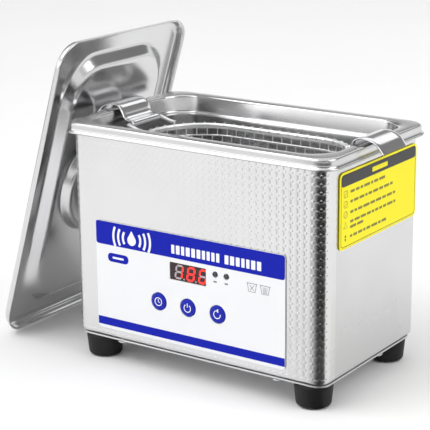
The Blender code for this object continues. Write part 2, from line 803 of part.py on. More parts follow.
def centre_on_footprint(root):
    """Moves the root so that the origin is the centre of the bounding box's base."""
    bpy.context.view_layer.update()
    depsgraph = bpy.context.evaluated_depsgraph_get()
    points = []
    for obj in PARTS.objects:
        if obj.type == "EMPTY":
            continue
        shape = obj.evaluated_get(depsgraph)
        mesh = shape.to_mesh()
        points += [obj.matrix_world @ v.co for v in mesh.vertices]
        shape.to_mesh_clear()
    low = [min(p[i] for p in points) for i in range(3)]
    high = [max(p[i] for p in points) for i in range(3)]
    root.location = (-(low[0] + high[0]) / 2, -(low[1] + high[1]) / 2, -low[2])


def make_all():
    steel = material("stainless_steel", (0.72, 0.72, 0.73), 0.28, 1.0)
    mats = {
        "steel": steel,
        "mesh": material("basket_wire", (0.75, 0.75, 0.76), 0.3, 1.0),
        "screw": material("zinc_plated_steel", (0.6, 0.6, 0.6), 0.35, 1.0),
        "rubber": material("black_rubber", (0.02, 0.02, 0.02), 0.75, 0.0),
        "silicone": material("grey_silicone", (0.35, 0.35, 0.35), 0.7, 0.0),
        "panel": material("white_overlay", (0.82, 0.83, 0.85), 0.35, 0.0),
        "lens": material("smoked_lens", (0.04, 0.004, 0.006), 0.08, 0.0),
        "led": material("led_lens", (0.12, 0.12, 0.13), 0.2, 0.0),
        "button": material("blue_button", (0.005, 0.02, 0.38), 0.35, 0.0),
        "dark_plastic": material("black_plastic", (0.03, 0.03, 0.03), 0.45, 0.0),
        "board": material("circuit_board", (0.02, 0.14, 0.05), 0.5, 0.0),
        "label": material("yellow_label", (0.95, 0.86, 0.03), 0.4, 0.0),
        "aluminium": material("machined_aluminium", (0.8, 0.8, 0.8), 0.35, 1.0),
        "ceramic": material("piezo_ceramic", (0.75, 0.7, 0.6), 0.6, 0.0),
        "brass": material("electrode_brass", (0.78, 0.6, 0.28), 0.35, 1.0),
        "ferrite": material("ferrite", (0.09, 0.08, 0.08), 0.6, 0.0),
        "wire": material("wire_insulation", (0.25, 0.03, 0.03), 0.5, 0.0),
    }
    make_tank(steel, mats["silicone"])
    make_housing(steel, mats["screw"])
    make_feet(mats["rubber"], mats["screw"])
    make_controls(mats)
    plate(
        "side_label",
        [rounded_outline(42.6, 21.0, 3.0)],
        0.5,
        (HOUSE_X + GAP + 0.25, 4.4, 108.2),
        mats["label"],
        turn=FACE_RIGHT,
    )
    make_inlet(mats)
    make_transducer(mats)
    make_generator(mats)
    make_basket(mats)
    make_lid(mats)


clear_scene()
PARTS = collection("ultrasonic_cleaner")
CUTTERS = collection("cutters")
UNIT = empty("unit_origin", (0, 0, 0))
make_all()
centre_on_footprint(UNIT)
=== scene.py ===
"""Benchtop ultrasonic cleaner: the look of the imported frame.

Shapes are worked out in millimetres in the cleaner's own frame (centre of the flange, front at
-Y) and placed with one matrix. The tank, lid, housing, basket, feet, screws, buttons, lamps,
inlet and printed graphics are built here. The other nodes keep their CAD shape and get a
procedural material.
"""

import random
from itertools import product
from math import copysign, cos, dist, hypot, pi, radians, sin, sqrt, tan

import bmesh
import bpy
from mathutils import Matrix, Vector


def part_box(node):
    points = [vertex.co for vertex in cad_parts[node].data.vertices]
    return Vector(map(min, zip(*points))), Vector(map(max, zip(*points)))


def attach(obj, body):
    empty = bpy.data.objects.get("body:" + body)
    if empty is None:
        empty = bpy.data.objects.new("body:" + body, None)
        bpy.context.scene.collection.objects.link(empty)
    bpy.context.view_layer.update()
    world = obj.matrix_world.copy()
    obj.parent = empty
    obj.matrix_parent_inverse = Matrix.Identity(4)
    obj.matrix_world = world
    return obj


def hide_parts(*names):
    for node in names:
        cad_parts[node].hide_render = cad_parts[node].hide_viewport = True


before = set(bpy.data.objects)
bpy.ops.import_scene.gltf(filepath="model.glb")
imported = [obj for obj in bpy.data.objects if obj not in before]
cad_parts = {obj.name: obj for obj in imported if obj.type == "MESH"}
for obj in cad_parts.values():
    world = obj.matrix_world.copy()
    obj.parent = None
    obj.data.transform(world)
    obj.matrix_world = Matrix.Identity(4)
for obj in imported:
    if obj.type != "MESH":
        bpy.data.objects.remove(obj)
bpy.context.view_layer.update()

MM = 0.001
UNIT = "unit"

# ---- places and sizes, in millimetres ----
TANK_LOW, TANK_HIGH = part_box("tank")
ORIGIN = Vector(((TANK_LOW.x + TANK_HIGH.x) / 2, (TANK_LOW.y + TANK_HIGH.y) / 2, 0.0))
TO_WORLD = Matrix.Translation(ORIGIN) @ Matrix.Scale(MM, 4)

FLANGE_X, FLANGE_Y, TOP_Z = 88.0, 54.0, 140.0
SHEET = 0.8
HOUSE_X, HOUSE_FRONT, HOUSE_BACK = 84.3, -51.9, 51.9
HOUSE_R, HOUSE_REAR_R = 8.0, 5.0
HOUSE_SHEET = 0.9
HOUSE_BOTTOM, HOUSE_TOP = 14.8, 137.4
WRAP_BACK, RETURN_X = HOUSE_BACK - 1.3, 70.0
PLATE_Z = 13.4
FOOT_X, FOOT_Y = 71.8, 41.0
TANK_FLOOR, LEDGE_Z = 75.0, 129.4
HEM_LOW, HEM_TOP = 2.4, 1.2
CORNERS = [
    (f"{end}_{side}", sx * FOOT_X, sy * FOOT_Y)
    for side, sx in (("left", -1), ("right", 1))
    for end, sy in (("front", -1), ("rear", 1))
]
BASE_SCREWS = ((-53, -48.2), (53, -48.2), (-80.6, 14), (80.6, 14))
BACK_SCREWS = ((-76, 28), (-76, 122), (76, 28), (76, 122))

PANEL_X, PANEL_Z = (-66.8, 60.8), (20.6, 85.0)
PANEL_FRONT = HOUSE_FRONT - 0.9
DISPLAY = (-2.6, 63.6, 24.0, 9.6)
BUTTON_Z = 43.8
BUTTON_AT = (("time", -22.8), ("power", -2.8), ("reset", 17.2))
BUTTON_R = 5.1
BUTTON_FACE = PANEL_FRONT - 0.6
LAMP_X, LAMP_Z = (15.8, 23.2), 66.5
LABEL_X, LABEL_Y, LABEL_Z = 85.1, 4.4, 108.2
OVERPRINT = (0.045, 0.075)
ON_WINDOW = (-0.14, -0.11)

CURL, CURL_R = (70.7, 132.2), 1.9
HANDLE_W, HANDLE_T = 27.0, 0.8
BASKET_X, BASKET_Y = 64.0, 34.0
BASKET_TOP, BASKET_BOTTOM = 125.4, 84.0
RIM_R, HANGER_R, HANGER_Y = 1.3, 1.1, 15.4
RIM_INSET, RIM_Z = 0.7, BASKET_TOP + 0.3 + RIM_R

LID_X, LID_Y, LID_LIP, LID_FLARE = 93.9, 57.4, 5.6, 2.3
LID_PLUG, LID_WELL = -6.2, -12.2
LID_LEAN = radians(17.0)
LID_AT = (
    -117.4, 5.3, (LID_X + LID_FLARE) * cos(LID_LEAN) + LID_LIP * sin(LID_LEAN)
)
LID_TO_WORLD = (
    TO_WORLD @ Matrix.Translation(LID_AT) @ Matrix.Rotation(LID_LEAN - pi / 2, 4, "Y")
)
INLET_X, INLET_Z, INLET_FACE = -44.0, 42.0, HOUSE_BACK + 2.9
INLET_FLOOR = INLET_FACE - 17.0

# ---- camera, in degrees and in metres from the flange's centre on the floor ----
CAMERA_YAW, CAMERA_PITCH, CAMERA_ROLL = 34.396, 15.527, -0.475
CAMERA_AT = Vector((0.46823, -0.70229, 0.3270))
CAMERA_LENS, CAMERA_SHIFT = 128.03, (-0.0262, -0.0287)


# ---- materials ----
def srgb(*levels):
    """Linear colour of an 8-bit screen colour."""
    return tuple((v / 255 / 12.92) if v < 10 else ((v / 255 + 0.055) / 1.055) ** 2.4 for v in levels)


def add_node(tree, kind, settings=None, **inputs):
    """A shader node with its settings made and its inputs set, or linked to given outputs."""
    node = tree.nodes.new(f"ShaderNode{kind}")
    for name, value in (settings or {}).items():
        setattr(node, name, value)
    for name, value in inputs.items():
        socket = node.inputs[name.replace("_", " ")]
        if isinstance(value, bpy.types.NodeSocket):
            tree.links.new(value, socket)
        else:
            socket.default_value = value
    return node


def map_range(tree, value, start, stop, low, high, interpolation="LINEAR"):
    """Carries a value's stretch from start to stop over to low to high."""
    node = add_node(tree, "MapRange", {"interpolation_type": interpolation}, Value=value,
                    From_Min=start, From_Max=stop, To_Min=low, To_Max=high)
    return node.outputs["Result"]


class Surface:
    """A Principled material with helpers for procedural detail in object coordinates."""

    def __init__(self, name, colour, roughness, metallic=0.0, **sockets):
        self.mat = bpy.data.materials.new(name)
        self.mat.use_nodes = True
        self.tree = self.mat.node_tree
        self.shader = self.tree.nodes["Principled BSDF"]
        self.colour = colour
        looks = {"Base Color": (*colour, 1.0), "Roughness": roughness, "Metallic": metallic}
        for socket, value in {**looks, **sockets}.items():
            self.shader.inputs[socket.replace("_", " ")].default_value = value
        self.coords = self.tree.nodes.new("ShaderNodeTexCoord").outputs["Object"]

    def drive(self, socket, output):
        self.tree.links.new(output, self.shader.inputs[socket])

    def noise(self, scale, stretch=(1.0, 1.0, 1.0), detail=4.0, rough=0.55):
        """Noise with scale in features per metre; stretch thins it along an axis."""
        mapping = add_node(self.tree, "Mapping", Vector=self.coords, Scale=stretch)
        texture = add_node(self.tree, "TexNoise", Vector=mapping.outputs[0], Scale=scale,
                           Detail=detail, Roughness=rough)
        return texture.outputs["Fac"]

    def vary_roughness(self, value, low, high):
        self.drive("Roughness", map_range(self.tree, value, 0.3, 0.7, low, high))

    def vary_colour(self, value, other, start=0.35, stop=0.65):
        mix = add_node(self.tree, "Mix", {"data_type": "RGBA"}, A=(*self.colour, 1.0),
                       B=(*other, 1.0), Factor=map_range(self.tree, value, start, stop, 0.0, 1.0))
        self.drive("Base Color", mix.outputs["Result"])

    def bump(self, value, depth, strength):
        """Bump of a depth in metres."""
        node = add_node(self.tree, "Bump", Height=value, Distance=depth, Strength=strength)
        self.drive("Normal", node.outputs["Normal"])


def steel(name, roughness, grain, colour=(0.86, 0.86, 0.87), depth=1.5e-6):
    """Metal whose polishing marks run across the axis with the largest grain."""
    made = Surface(name, colour, roughness, 1.0)
    lines = made.noise(900.0, grain, 3.0, 0.6)
    cloud = made.noise(14.0, (1, 1, 1), 3.0)
    made.vary_roughness(cloud, roughness * 0.65, roughness * 1.35)
    made.vary_colour(cloud, tuple(c * 0.94 for c in colour))
    made.bump(lines, depth, 0.6)
    return made.mat


def plastic(name, colour, roughness, scale, depth, shift, specular=0.5):
    """Moulded or printed material with a fine texture and faint uneven colour."""
    made = Surface(name, colour, roughness, Specular_IOR_Level=specular)
    made.vary_colour(made.noise(26.0), tuple(c * shift for c in colour))
    fine = made.noise(scale, (1, 1, 1), 2.0)
    made.vary_roughness(fine, roughness * 0.85, min(1.0, roughness * 1.15))
    made.bump(fine, depth, 0.4)
    return made.mat


def glowing(name, colour, strength):
    made = Surface(name, colour, 0.3, Emission_Color=(*colour, 1.0), Emission_Strength=strength)
    made.vary_roughness(made.noise(700.0), 0.25, 0.35)
    return made.mat


def board_material():
    made = Surface("solder_mask", (0.012, 0.11, 0.035), 0.38)
    tracks = made.noise(260.0, (1.0, 0.15, 1.0), 1.0)
    made.vary_colour(tracks, (0.03, 0.2, 0.07), 0.48, 0.5)
    made.bump(tracks, 4e-5, 0.5)
    return made.mat


MAT = {
    "tank": steel("polished_tank_steel", 0.2, (1.0, 0.04, 0.04), (0.66, 0.66, 0.665)),
    "lid": steel("polished_lid_steel", 0.2, (1.0, 0.03, 1.0), (0.7, 0.7, 0.705)),
    "handle": steel("polished_strip_steel", 0.14, (1.0, 0.05, 1.0)),
    "wire": steel("drawn_wire_steel", 0.42, (0.2, 0.2, 1.0), (0.97, 0.97, 0.97)),
    "emboss": steel("embossed_steel", 0.22, (1.0, 1.0, 1.0), (0.75, 0.75, 0.75)),
    "satin": steel("satin_steel", 0.24, (1.0, 0.02, 1.0), (0.68, 0.68, 0.685), 4e-6),
    "plate": steel("galvanised_plate", 0.4, (0.04, 1.0, 1.0), (0.7, 0.7, 0.71), 4e-6),
    "screw": steel("zinc_plated_steel", 0.24, (1.0, 1.0, 1.0), (0.8, 0.8, 0.79)),
    "machined": steel("machined_aluminium", 0.32, (0.05, 0.05, 1.0), (0.82, 0.82, 0.83), 6e-6),
    "brass": steel("rolled_brass", 0.3, (1.0, 0.05, 1.0), (0.8, 0.6, 0.25), 3e-6),
    "rubber": plastic("black_rubber", (0.008, 0.008, 0.008), 0.5, 900.0, 4e-5, 1.5, 0.25),
    "silicone": plastic("grey_silicone", (0.3, 0.3, 0.3), 0.6, 500.0, 2e-5, 0.88),
    "overlay": plastic("white_overlay", srgb(238, 239, 241), 0.32, 2600.0, 3e-6, 0.985),
    "blue": plastic("blue_print", srgb(6, 26, 172), 0.45, 2600.0, 3e-6, 0.95, 0.15),
    "button": plastic("blue_button", srgb(8, 30, 172), 0.4, 2200.0, 3e-6, 0.92, 0.25),
    "white": plastic("white_print", srgb(244, 245, 247), 0.4, 2600.0, 2e-6, 0.98),
    "grey": plastic("grey_print", srgb(120, 122, 126), 0.45, 2600.0, 2e-6, 0.9),
    "ink": plastic("black_print", srgb(34, 34, 36), 0.4, 2600.0, 2e-6, 0.8),
    "label": plastic("yellow_film", srgb(254, 240, 20), 0.4, 1500.0, 3e-6, 0.98, 0.2),
    "olive": plastic("label_text_ink", srgb(132, 124, 38), 0.45, 2600.0, 2e-6, 0.85),
    "lens": plastic("smoked_window", srgb(46, 18, 22), 0.09, 1200.0, 1e-6, 0.8),
    "off": plastic("unlit_segment", srgb(186, 176, 178), 0.4, 1500.0, 2e-6, 0.9),
    "led": plastic("dark_lamp", srgb(58, 60, 62), 0.18, 900.0, 6e-6, 0.7),
    "black": plastic("black_plastic", (0.022, 0.022, 0.024), 0.42, 1300.0, 3e-5, 1.4),
    "ceramic": plastic("piezo_ceramic", (0.72, 0.66, 0.55), 0.5, 700.0, 1e-5, 0.9),
    "ferrite": plastic("ferrite", (0.07, 0.065, 0.065), 0.55, 400.0, 4e-5, 1.5),
    "cable": plastic("cable_sheath", (0.03, 0.03, 0.032), 0.45, 800.0, 2e-5, 1.4),
    "lead": plastic("red_lead", (0.3, 0.02, 0.02), 0.4, 800.0, 1e-5, 0.8),
    "board": board_material(),
    "lit": glowing("lit_segment", (1.0, 0.02, 0.015), 1.1),
}


# ---- mesh helpers ----
def linked(name, data):
    obj = bpy.data.objects.new(name, data)
    bpy.context.scene.collection.objects.link(obj)
    return obj


def new_object(name, bm):
    """A linked mesh object made from a bmesh, which it frees."""
    mesh = bpy.data.meshes.new(name)
    bm.to_mesh(mesh)
    bm.free()
    return linked(name, mesh)


def add_piece(name, bm, mats, body, nodes=(), matrix=TO_WORLD, sharp=40.0, closed=True):
    """Turns a bmesh in millimetres into a piece that rides on a body."""
    bm.transform(matrix)
    if closed:
        bmesh.ops.recalc_face_normals(bm, faces=bm.faces)
    obj = new_object(name, bm)
    for key in mats:
        obj.data.materials.append(MAT[key])
    obj.data.shade_smooth()
    obj.data.set_sharp_from_angle(angle=radians(sharp))
    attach(obj, body)
    if nodes:
        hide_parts(*nodes)
    return obj


def between(a, b, share):
    return tuple(p + (q - p) * share for p, q in zip(a, b))


def fillet(points, radius, steps):
    """Rounds an open path's corners; only each tuple's first and last values count as length."""
    def gap(a, b):
        return hypot(a[0] - b[0], a[-1] - b[-1])

    path = [points[0]]
    for a, b, c in zip(points, points[1:], points[2:]):
        reach = min(radius, 0.48 * gap(a, b), 0.48 * gap(b, c))
        start = between(b, a, reach / max(gap(a, b), 1e-6))
        stop = between(b, c, reach / max(gap(b, c), 1e-6))
        for i in range(steps + 1):
            t = i / steps
            path.append(between(between(start, b, t), between(b, stop, t), t))
    return path + [points[-1]]


def smooth_route(points, steps=5):
    """Points of a Catmull-Rom curve through the given ones."""
    ends = [Vector(p) for p in (points[0], *points, points[-1])]
    route = []
    for a, b, c, d in zip(ends, ends[1:], ends[2:], ends[3:]):
        for i in range(steps):
            t = i / steps
            route.append(
                0.5 * (2 * b + (c - a) * t + (2 * a - 5 * b + 4 * c - d) * t**2
                       + (3 * b - a - 3 * c + d) * t**3)
            )
    return route + [ends[-2]]


def rounded_outline(half_x, half_y, radius, segments, straight):
    """A rounded rectangle, counter-clockwise, with points along its straight sides too."""
    signs = ((1, -1), (1, 1), (-1, 1), (-1, -1))
    corners = [
        arc(sx * (half_x - radius), sy * (half_y - radius), radius, 90 * i - 90, 90 * i, segments)
        for i, (sx, sy) in enumerate(signs)
    ]
    points = []
    for corner, after in zip(corners, corners[1:] + corners[:1]):
        points += corner
        points += [between(corner[-1], after[0], s / straight) for s in range(1, straight)]
    return points


def ray_outline(half_x, half_y, radius, angles):
    """Where rays from the centre at the given angles meet a rounded rectangle."""
    points = []
    corner_x, corner_y = half_x - radius, half_y - radius
    for angle in angles:
        dx, dy = cos(angle), sin(angle)
        reach = min(half_x / max(abs(dx), 1e-9), half_y / max(abs(dy), 1e-9))
        if reach * abs(dx) > corner_x and reach * abs(dy) > corner_y:
            along = abs(dx) * corner_x + abs(dy) * corner_y
            reach = along + sqrt(along**2 - corner_x**2 - corner_y**2 + radius**2)
        points.append((reach * dx, reach * dy))
    return points


def bridge(bm, a, b):
    """Quads between two closed rings of vertices."""
    for i in range(len(a)):
        j = (i + 1) % len(a)
        bm.faces.new((a[i], a[j], b[j], b[i]))


def loft(bm, rings):
    """Quads between closed rings of points; returns the rows of vertices."""
    rows = [[bm.verts.new(p) for p in ring] for ring in rings]
    for a, b in zip(rows, rows[1:]):
        bridge(bm, a, b)
    return rows


def cap_ends(bm, rows):
    bm.faces.new(rows[0][::-1])
    bm.faces.new(rows[-1])


def fan(bm, row):
    """Closes a ring with triangles to its middle."""
    middle = bm.verts.new(sum((v.co for v in row), Vector()) / len(row))
    for a, b in zip(row, row[1:] + row[:1]):
        bm.faces.new((a, b, middle))


def thicken(obj):
    """Gives an open surface the sheet's thickness on its inner side."""
    shell = obj.modifiers.new("sheet", "SOLIDIFY")
    shell.thickness = SHEET * MM
    shell.offset = -1.0
    shell.use_even_offset = True


def across(axis, x, y, height):
    """A point x and y off an axis, "Y" or "Z", at a height along it."""
    return Vector((x, y, height) if axis == "Z" else (x, height, y))


def turned(profile, at, steps, axis="Z", flip=1.0):
    """A bmesh of (radius, height) points revolved about an axis through a point."""
    bm = bmesh.new()
    rows = [
        [
            bm.verts.new(Vector(at) + across(axis, r * cos(a), r * sin(a), h * flip))
            for r, h in profile
        ]
        for a in (2 * pi * step / steps for step in range(steps))
    ]
    for a, b in zip(rows, rows[1:] + rows[:1]):
        for i in range(len(profile) - 1):
            bm.faces.new((a[i], a[i + 1], b[i + 1], b[i]))
    bmesh.ops.remove_doubles(bm, verts=[v for row in rows for v in row], dist=1e-4)
    return bm


def tube(bm, points, radius, sides, closed=False):
    """A round wire through points."""
    path = [Vector(p) for p in points]
    count = len(path)
    tangents = []
    for i in range(count):
        before = path[i - 1] if (closed or i) else path[0]
        after = path[(i + 1) % count] if (closed or i < count - 1) else path[-1]
        tangents.append((after - before).normalized())
    side = tangents[0].orthogonal().normalized()
    rings = []
    for point, tangent in zip(path, tangents):
        side = (side - tangent * side.dot(tangent)).normalized()
        other = tangent.cross(side)
        rings.append([
            bm.verts.new(point + radius * (side * cos(a) + other * sin(a)))
            for a in (2 * pi * s / sides for s in range(sides))
        ])
    pairs = list(zip(rings, rings[1:]))
    if closed:
        last, first = rings[-1], rings[0]
        turn = min(range(sides), key=lambda k: (first[k].co - last[0].co).length)
        pairs.append((last, first[turn:] + first[:turn]))
    for a, b in pairs:
        bridge(bm, a, b)
    if not closed:
        cap_ends(bm, rings)


def with_normals(path):
    """(x, z, nx, nz) at each point of an open path."""
    rows = []
    for i, (x, z) in enumerate(path):
        (ax, az), (bx, bz) = path[max(i - 1, 0)], path[min(i + 1, len(path) - 1)]
        length = hypot(bx - ax, bz - az)
        rows.append((x, z, (az - bz) / length, (bx - ax) / length))
    return rows


def strip(bm, path, width, thickness, steps):
    """A bent sheet strip with rounded edges along an (x, z) middle line."""
    half, edge = thickness / 2, width / 2
    section = [(edge - 0.3, half), (edge - 0.08, half * 0.72), (edge, 0.0),
               (edge - 0.08, -half * 0.72), (edge - 0.3, -half)]
    across = [-edge + 0.3 + (2 * edge - 0.6) * s / steps for s in range(1, steps)]
    loop = section + [(-y, -half) for y in across] + [(-y, -h) for y, h in section]
    loop += [(y, half) for y in across]
    rings = [
        [(x + nx * h, y, z + nz * h) for y, h in loop] for x, z, nx, nz in with_normals(path)
    ]
    cap_ends(bm, loft(bm, rings))


def on_front(u, v, t):
    return (u, PANEL_FRONT - t, v)


def on_label(u, v, t):
    return (LABEL_X + t, u, v)


def on_button(u, v, t):
    return (u, BUTTON_FACE - t, v)


def in_inlet(u, v, t):
    return (INLET_X + u, INLET_FLOOR + t, INLET_Z + v)


def prism(bm, outline, plane, low=0.006, high=0.04, material=0):
    """A thin printed shape: a flat outline standing a hair proud of its surface."""
    bottom = [bm.verts.new(plane(u, v, low)) for u, v in outline]
    top = [bm.verts.new(plane(u, v, high)) for u, v in outline]
    faces = [bm.faces.new(bottom), bm.faces.new(top[::-1])]
    for i in range(len(outline)):
        j = (i + 1) % len(outline)
        faces.append(bm.faces.new((bottom[i], top[i], top[j], bottom[j])))
    for face in faces:
        face.material_index = material


def rect(x0, z0, x1, z1, radius=0.0):
    if radius <= 0.0:
        return [(x0, z0), (x1, z0), (x1, z1), (x0, z1)]
    cx, cz = (x0 + x1) / 2, (z0 + z1) / 2
    outline = rounded_outline((x1 - x0) / 2, (z1 - z0) / 2, radius, 5, 1)
    return [(cx + x, cz + z) for x, z in outline]


def arc(cx, cz, radius, start, stop, steps):
    """Points of an arc between two angles in degrees."""
    return [
        (cx + radius * cos(a), cz + radius * sin(a))
        for a in (radians(start + (stop - start) * s / steps) for s in range(steps + 1))
    ]


def stroke(points, width):
    """Outline of a line of a width through points."""
    half, rows = width / 2, with_normals(points)
    left = [(x + nx * half, z + nz * half) for x, z, nx, nz in rows]
    return left + [(x - nx * half, z - nz * half) for x, z, nx, nz in rows[::-1]]


def word_bars(rng, x0, x1, z, height, widths, gap):
    """Plain bars that stand for a line of print."""
    shapes, x = [], x0
    while x < x1 - widths[0] * 0.6:
        width = min(rng.uniform(*widths), x1 - x)
        shapes.append(rect(x, z - height / 2, x + width, z + height / 2, height * 0.3))
        x += width + gap
    return shapes


# ---- tank ----
def make_tank():
    """Pressed tank: rolled skirt, flat flange, recess with a ledge, then walls and floor."""
    # inset from the flange's edge, corner radius, height
    sections = [
        (-1.6, 11.6, TOP_Z - 5.6), (-0.5, 10.5, TOP_Z - 4.9), (0.0, 10.0, TOP_Z - 3.8),
        (0.0, 10.0, TOP_Z), (7.6, 18.4, TOP_Z), (8.6, 17.4, LEDGE_Z), (12.5, 15.2, LEDGE_Z - 0.2),
        (14.6, 14.0, TANK_FLOOR + 5.0), (15.0, 13.6, TANK_FLOOR), (30.0, 8.0, TANK_FLOOR),
    ]
    path = fillet(sections[:7], 1.5, 5)[:-1] + fillet(sections[6:], 4.5, 6)
    rings = [
        [(x, y, z) for x, y in rounded_outline(FLANGE_X - d, FLANGE_Y - d, max(r, 0.5), 14, 12)]
        for d, r, z in path
    ]
    bm = bmesh.new()
    rows = loft(bm, rings)
    fan(bm, rows[-1])
    tank = add_piece("tank_pressing", bm, ["tank"], UNIT, ["tank"], closed=False)
    thicken(tank)


# ---- housing ----
def plan_segments():
    """The wrap's plan from the back left return round the front: lines and arcs."""
    normals = ((0, 1), (-1, 0), (0, -1), (1, 0), (0, 1))
    corners = ((-HOUSE_X, WRAP_BACK, HOUSE_REAR_R), (-HOUSE_X, HOUSE_FRONT, HOUSE_R),
               (HOUSE_X, HOUSE_FRONT, HOUSE_R), (HOUSE_X, WRAP_BACK, HOUSE_REAR_R))
    segments, start = [], (-RETURN_X, WRAP_BACK)
    for i, (x, y, r) in enumerate(corners):
        centre = (x - copysign(r, x), y - copysign(r, y))
        before, after = (tuple(c + r * n for c, n in zip(centre, normals[k])) for k in (i, i + 1))
        segments += [("line", start, before, normals[i]), ("arc", centre, r, 90 * (i + 1))]
        start = after
    return segments + [("line", start, (RETURN_X, WRAP_BACK), normals[-1])]


def segment_length(seg):
    if seg[0] == "arc":
        return seg[2] * pi / 2
    return dist(seg[1], seg[2])


PLAN = plan_segments()
FRONT_MID = sum(segment_length(s) for s in PLAN[:4]) + segment_length(PLAN[4]) / 2


def plan_point(u, inset):
    """(x, y) at a distance along the plan, moved inwards."""
    for seg in PLAN:
        length = segment_length(seg)
        if u <= length + 1e-6 or seg is PLAN[-1]:
            break
        u -= length
    t = min(max(u / length, 0.0), 1.0)
    if seg[0] == "arc":
        angle = radians(seg[3] + 90 * t)
        r = max(seg[2] - inset, 0.3)
        return seg[1][0] + r * cos(angle), seg[1][1] + r * sin(angle)
    (x, y), (nx, ny) = between(seg[1], seg[2], t), seg[3]
    return x - nx * inset, y - ny * inset


def cell_polygons(u0, u1, z0, z1):
    """Round cells with a small diamond at each meeting of four, cut off at a rectangle."""
    pitch_u, pitch_z, small = 4.28, 4.47, 1.25
    first_u, first_z = FRONT_MID + 2.11, 110.1
    half_u, half_z = pitch_u / 2, pitch_z / 2
    big = []
    for sx, sz in ((1, 1), (-1, 1), (-1, -1), (1, -1)):
        pair = [(sx * half_u, sz * (half_z - small)), (sx * (half_u - small), sz * half_z)]
        big += pair if sx * sz > 0 else pair[::-1]
    diamond = [(small, 0.0), (0.0, small), (-small, 0.0), (0.0, -small)]
    polygons = []
    for shape, shift in ((big, 0.0), (diamond, 0.5)):
        for i, j in product(range(-24, 25), range(-28, 12)):
            cu, cz = first_u + (i + shift) * pitch_u, first_z + (j + shift) * pitch_z
            points = [(cu + x, cz + z) for x, z in shape]
            for axis, limit, sign in ((0, u0, 1), (0, u1, -1), (1, z0, 1), (1, z1, -1)):
                points = clip(points, axis, limit, sign)
            if len(points) > 2:
                middles = [between(a, b, 0.5) for a, b in zip(points, points[1:] + points[:1])]
                points = [p for pair in zip(points, middles) for p in pair]
                polygons.append((points, shape is big))
    return polygons


def clip(points, axis, limit, sign):
    """The part of a convex outline on one side of a line across an axis."""
    kept = []
    for a, b in zip(points, points[1:] + points[:1]):
        da, db = sign * (a[axis] - limit), sign * (b[axis] - limit)
        if da >= -1e-9:
            kept.append(a)
        if da * db < -1e-12:
            kept.append(between(a, b, da / (da - db)))
    return kept


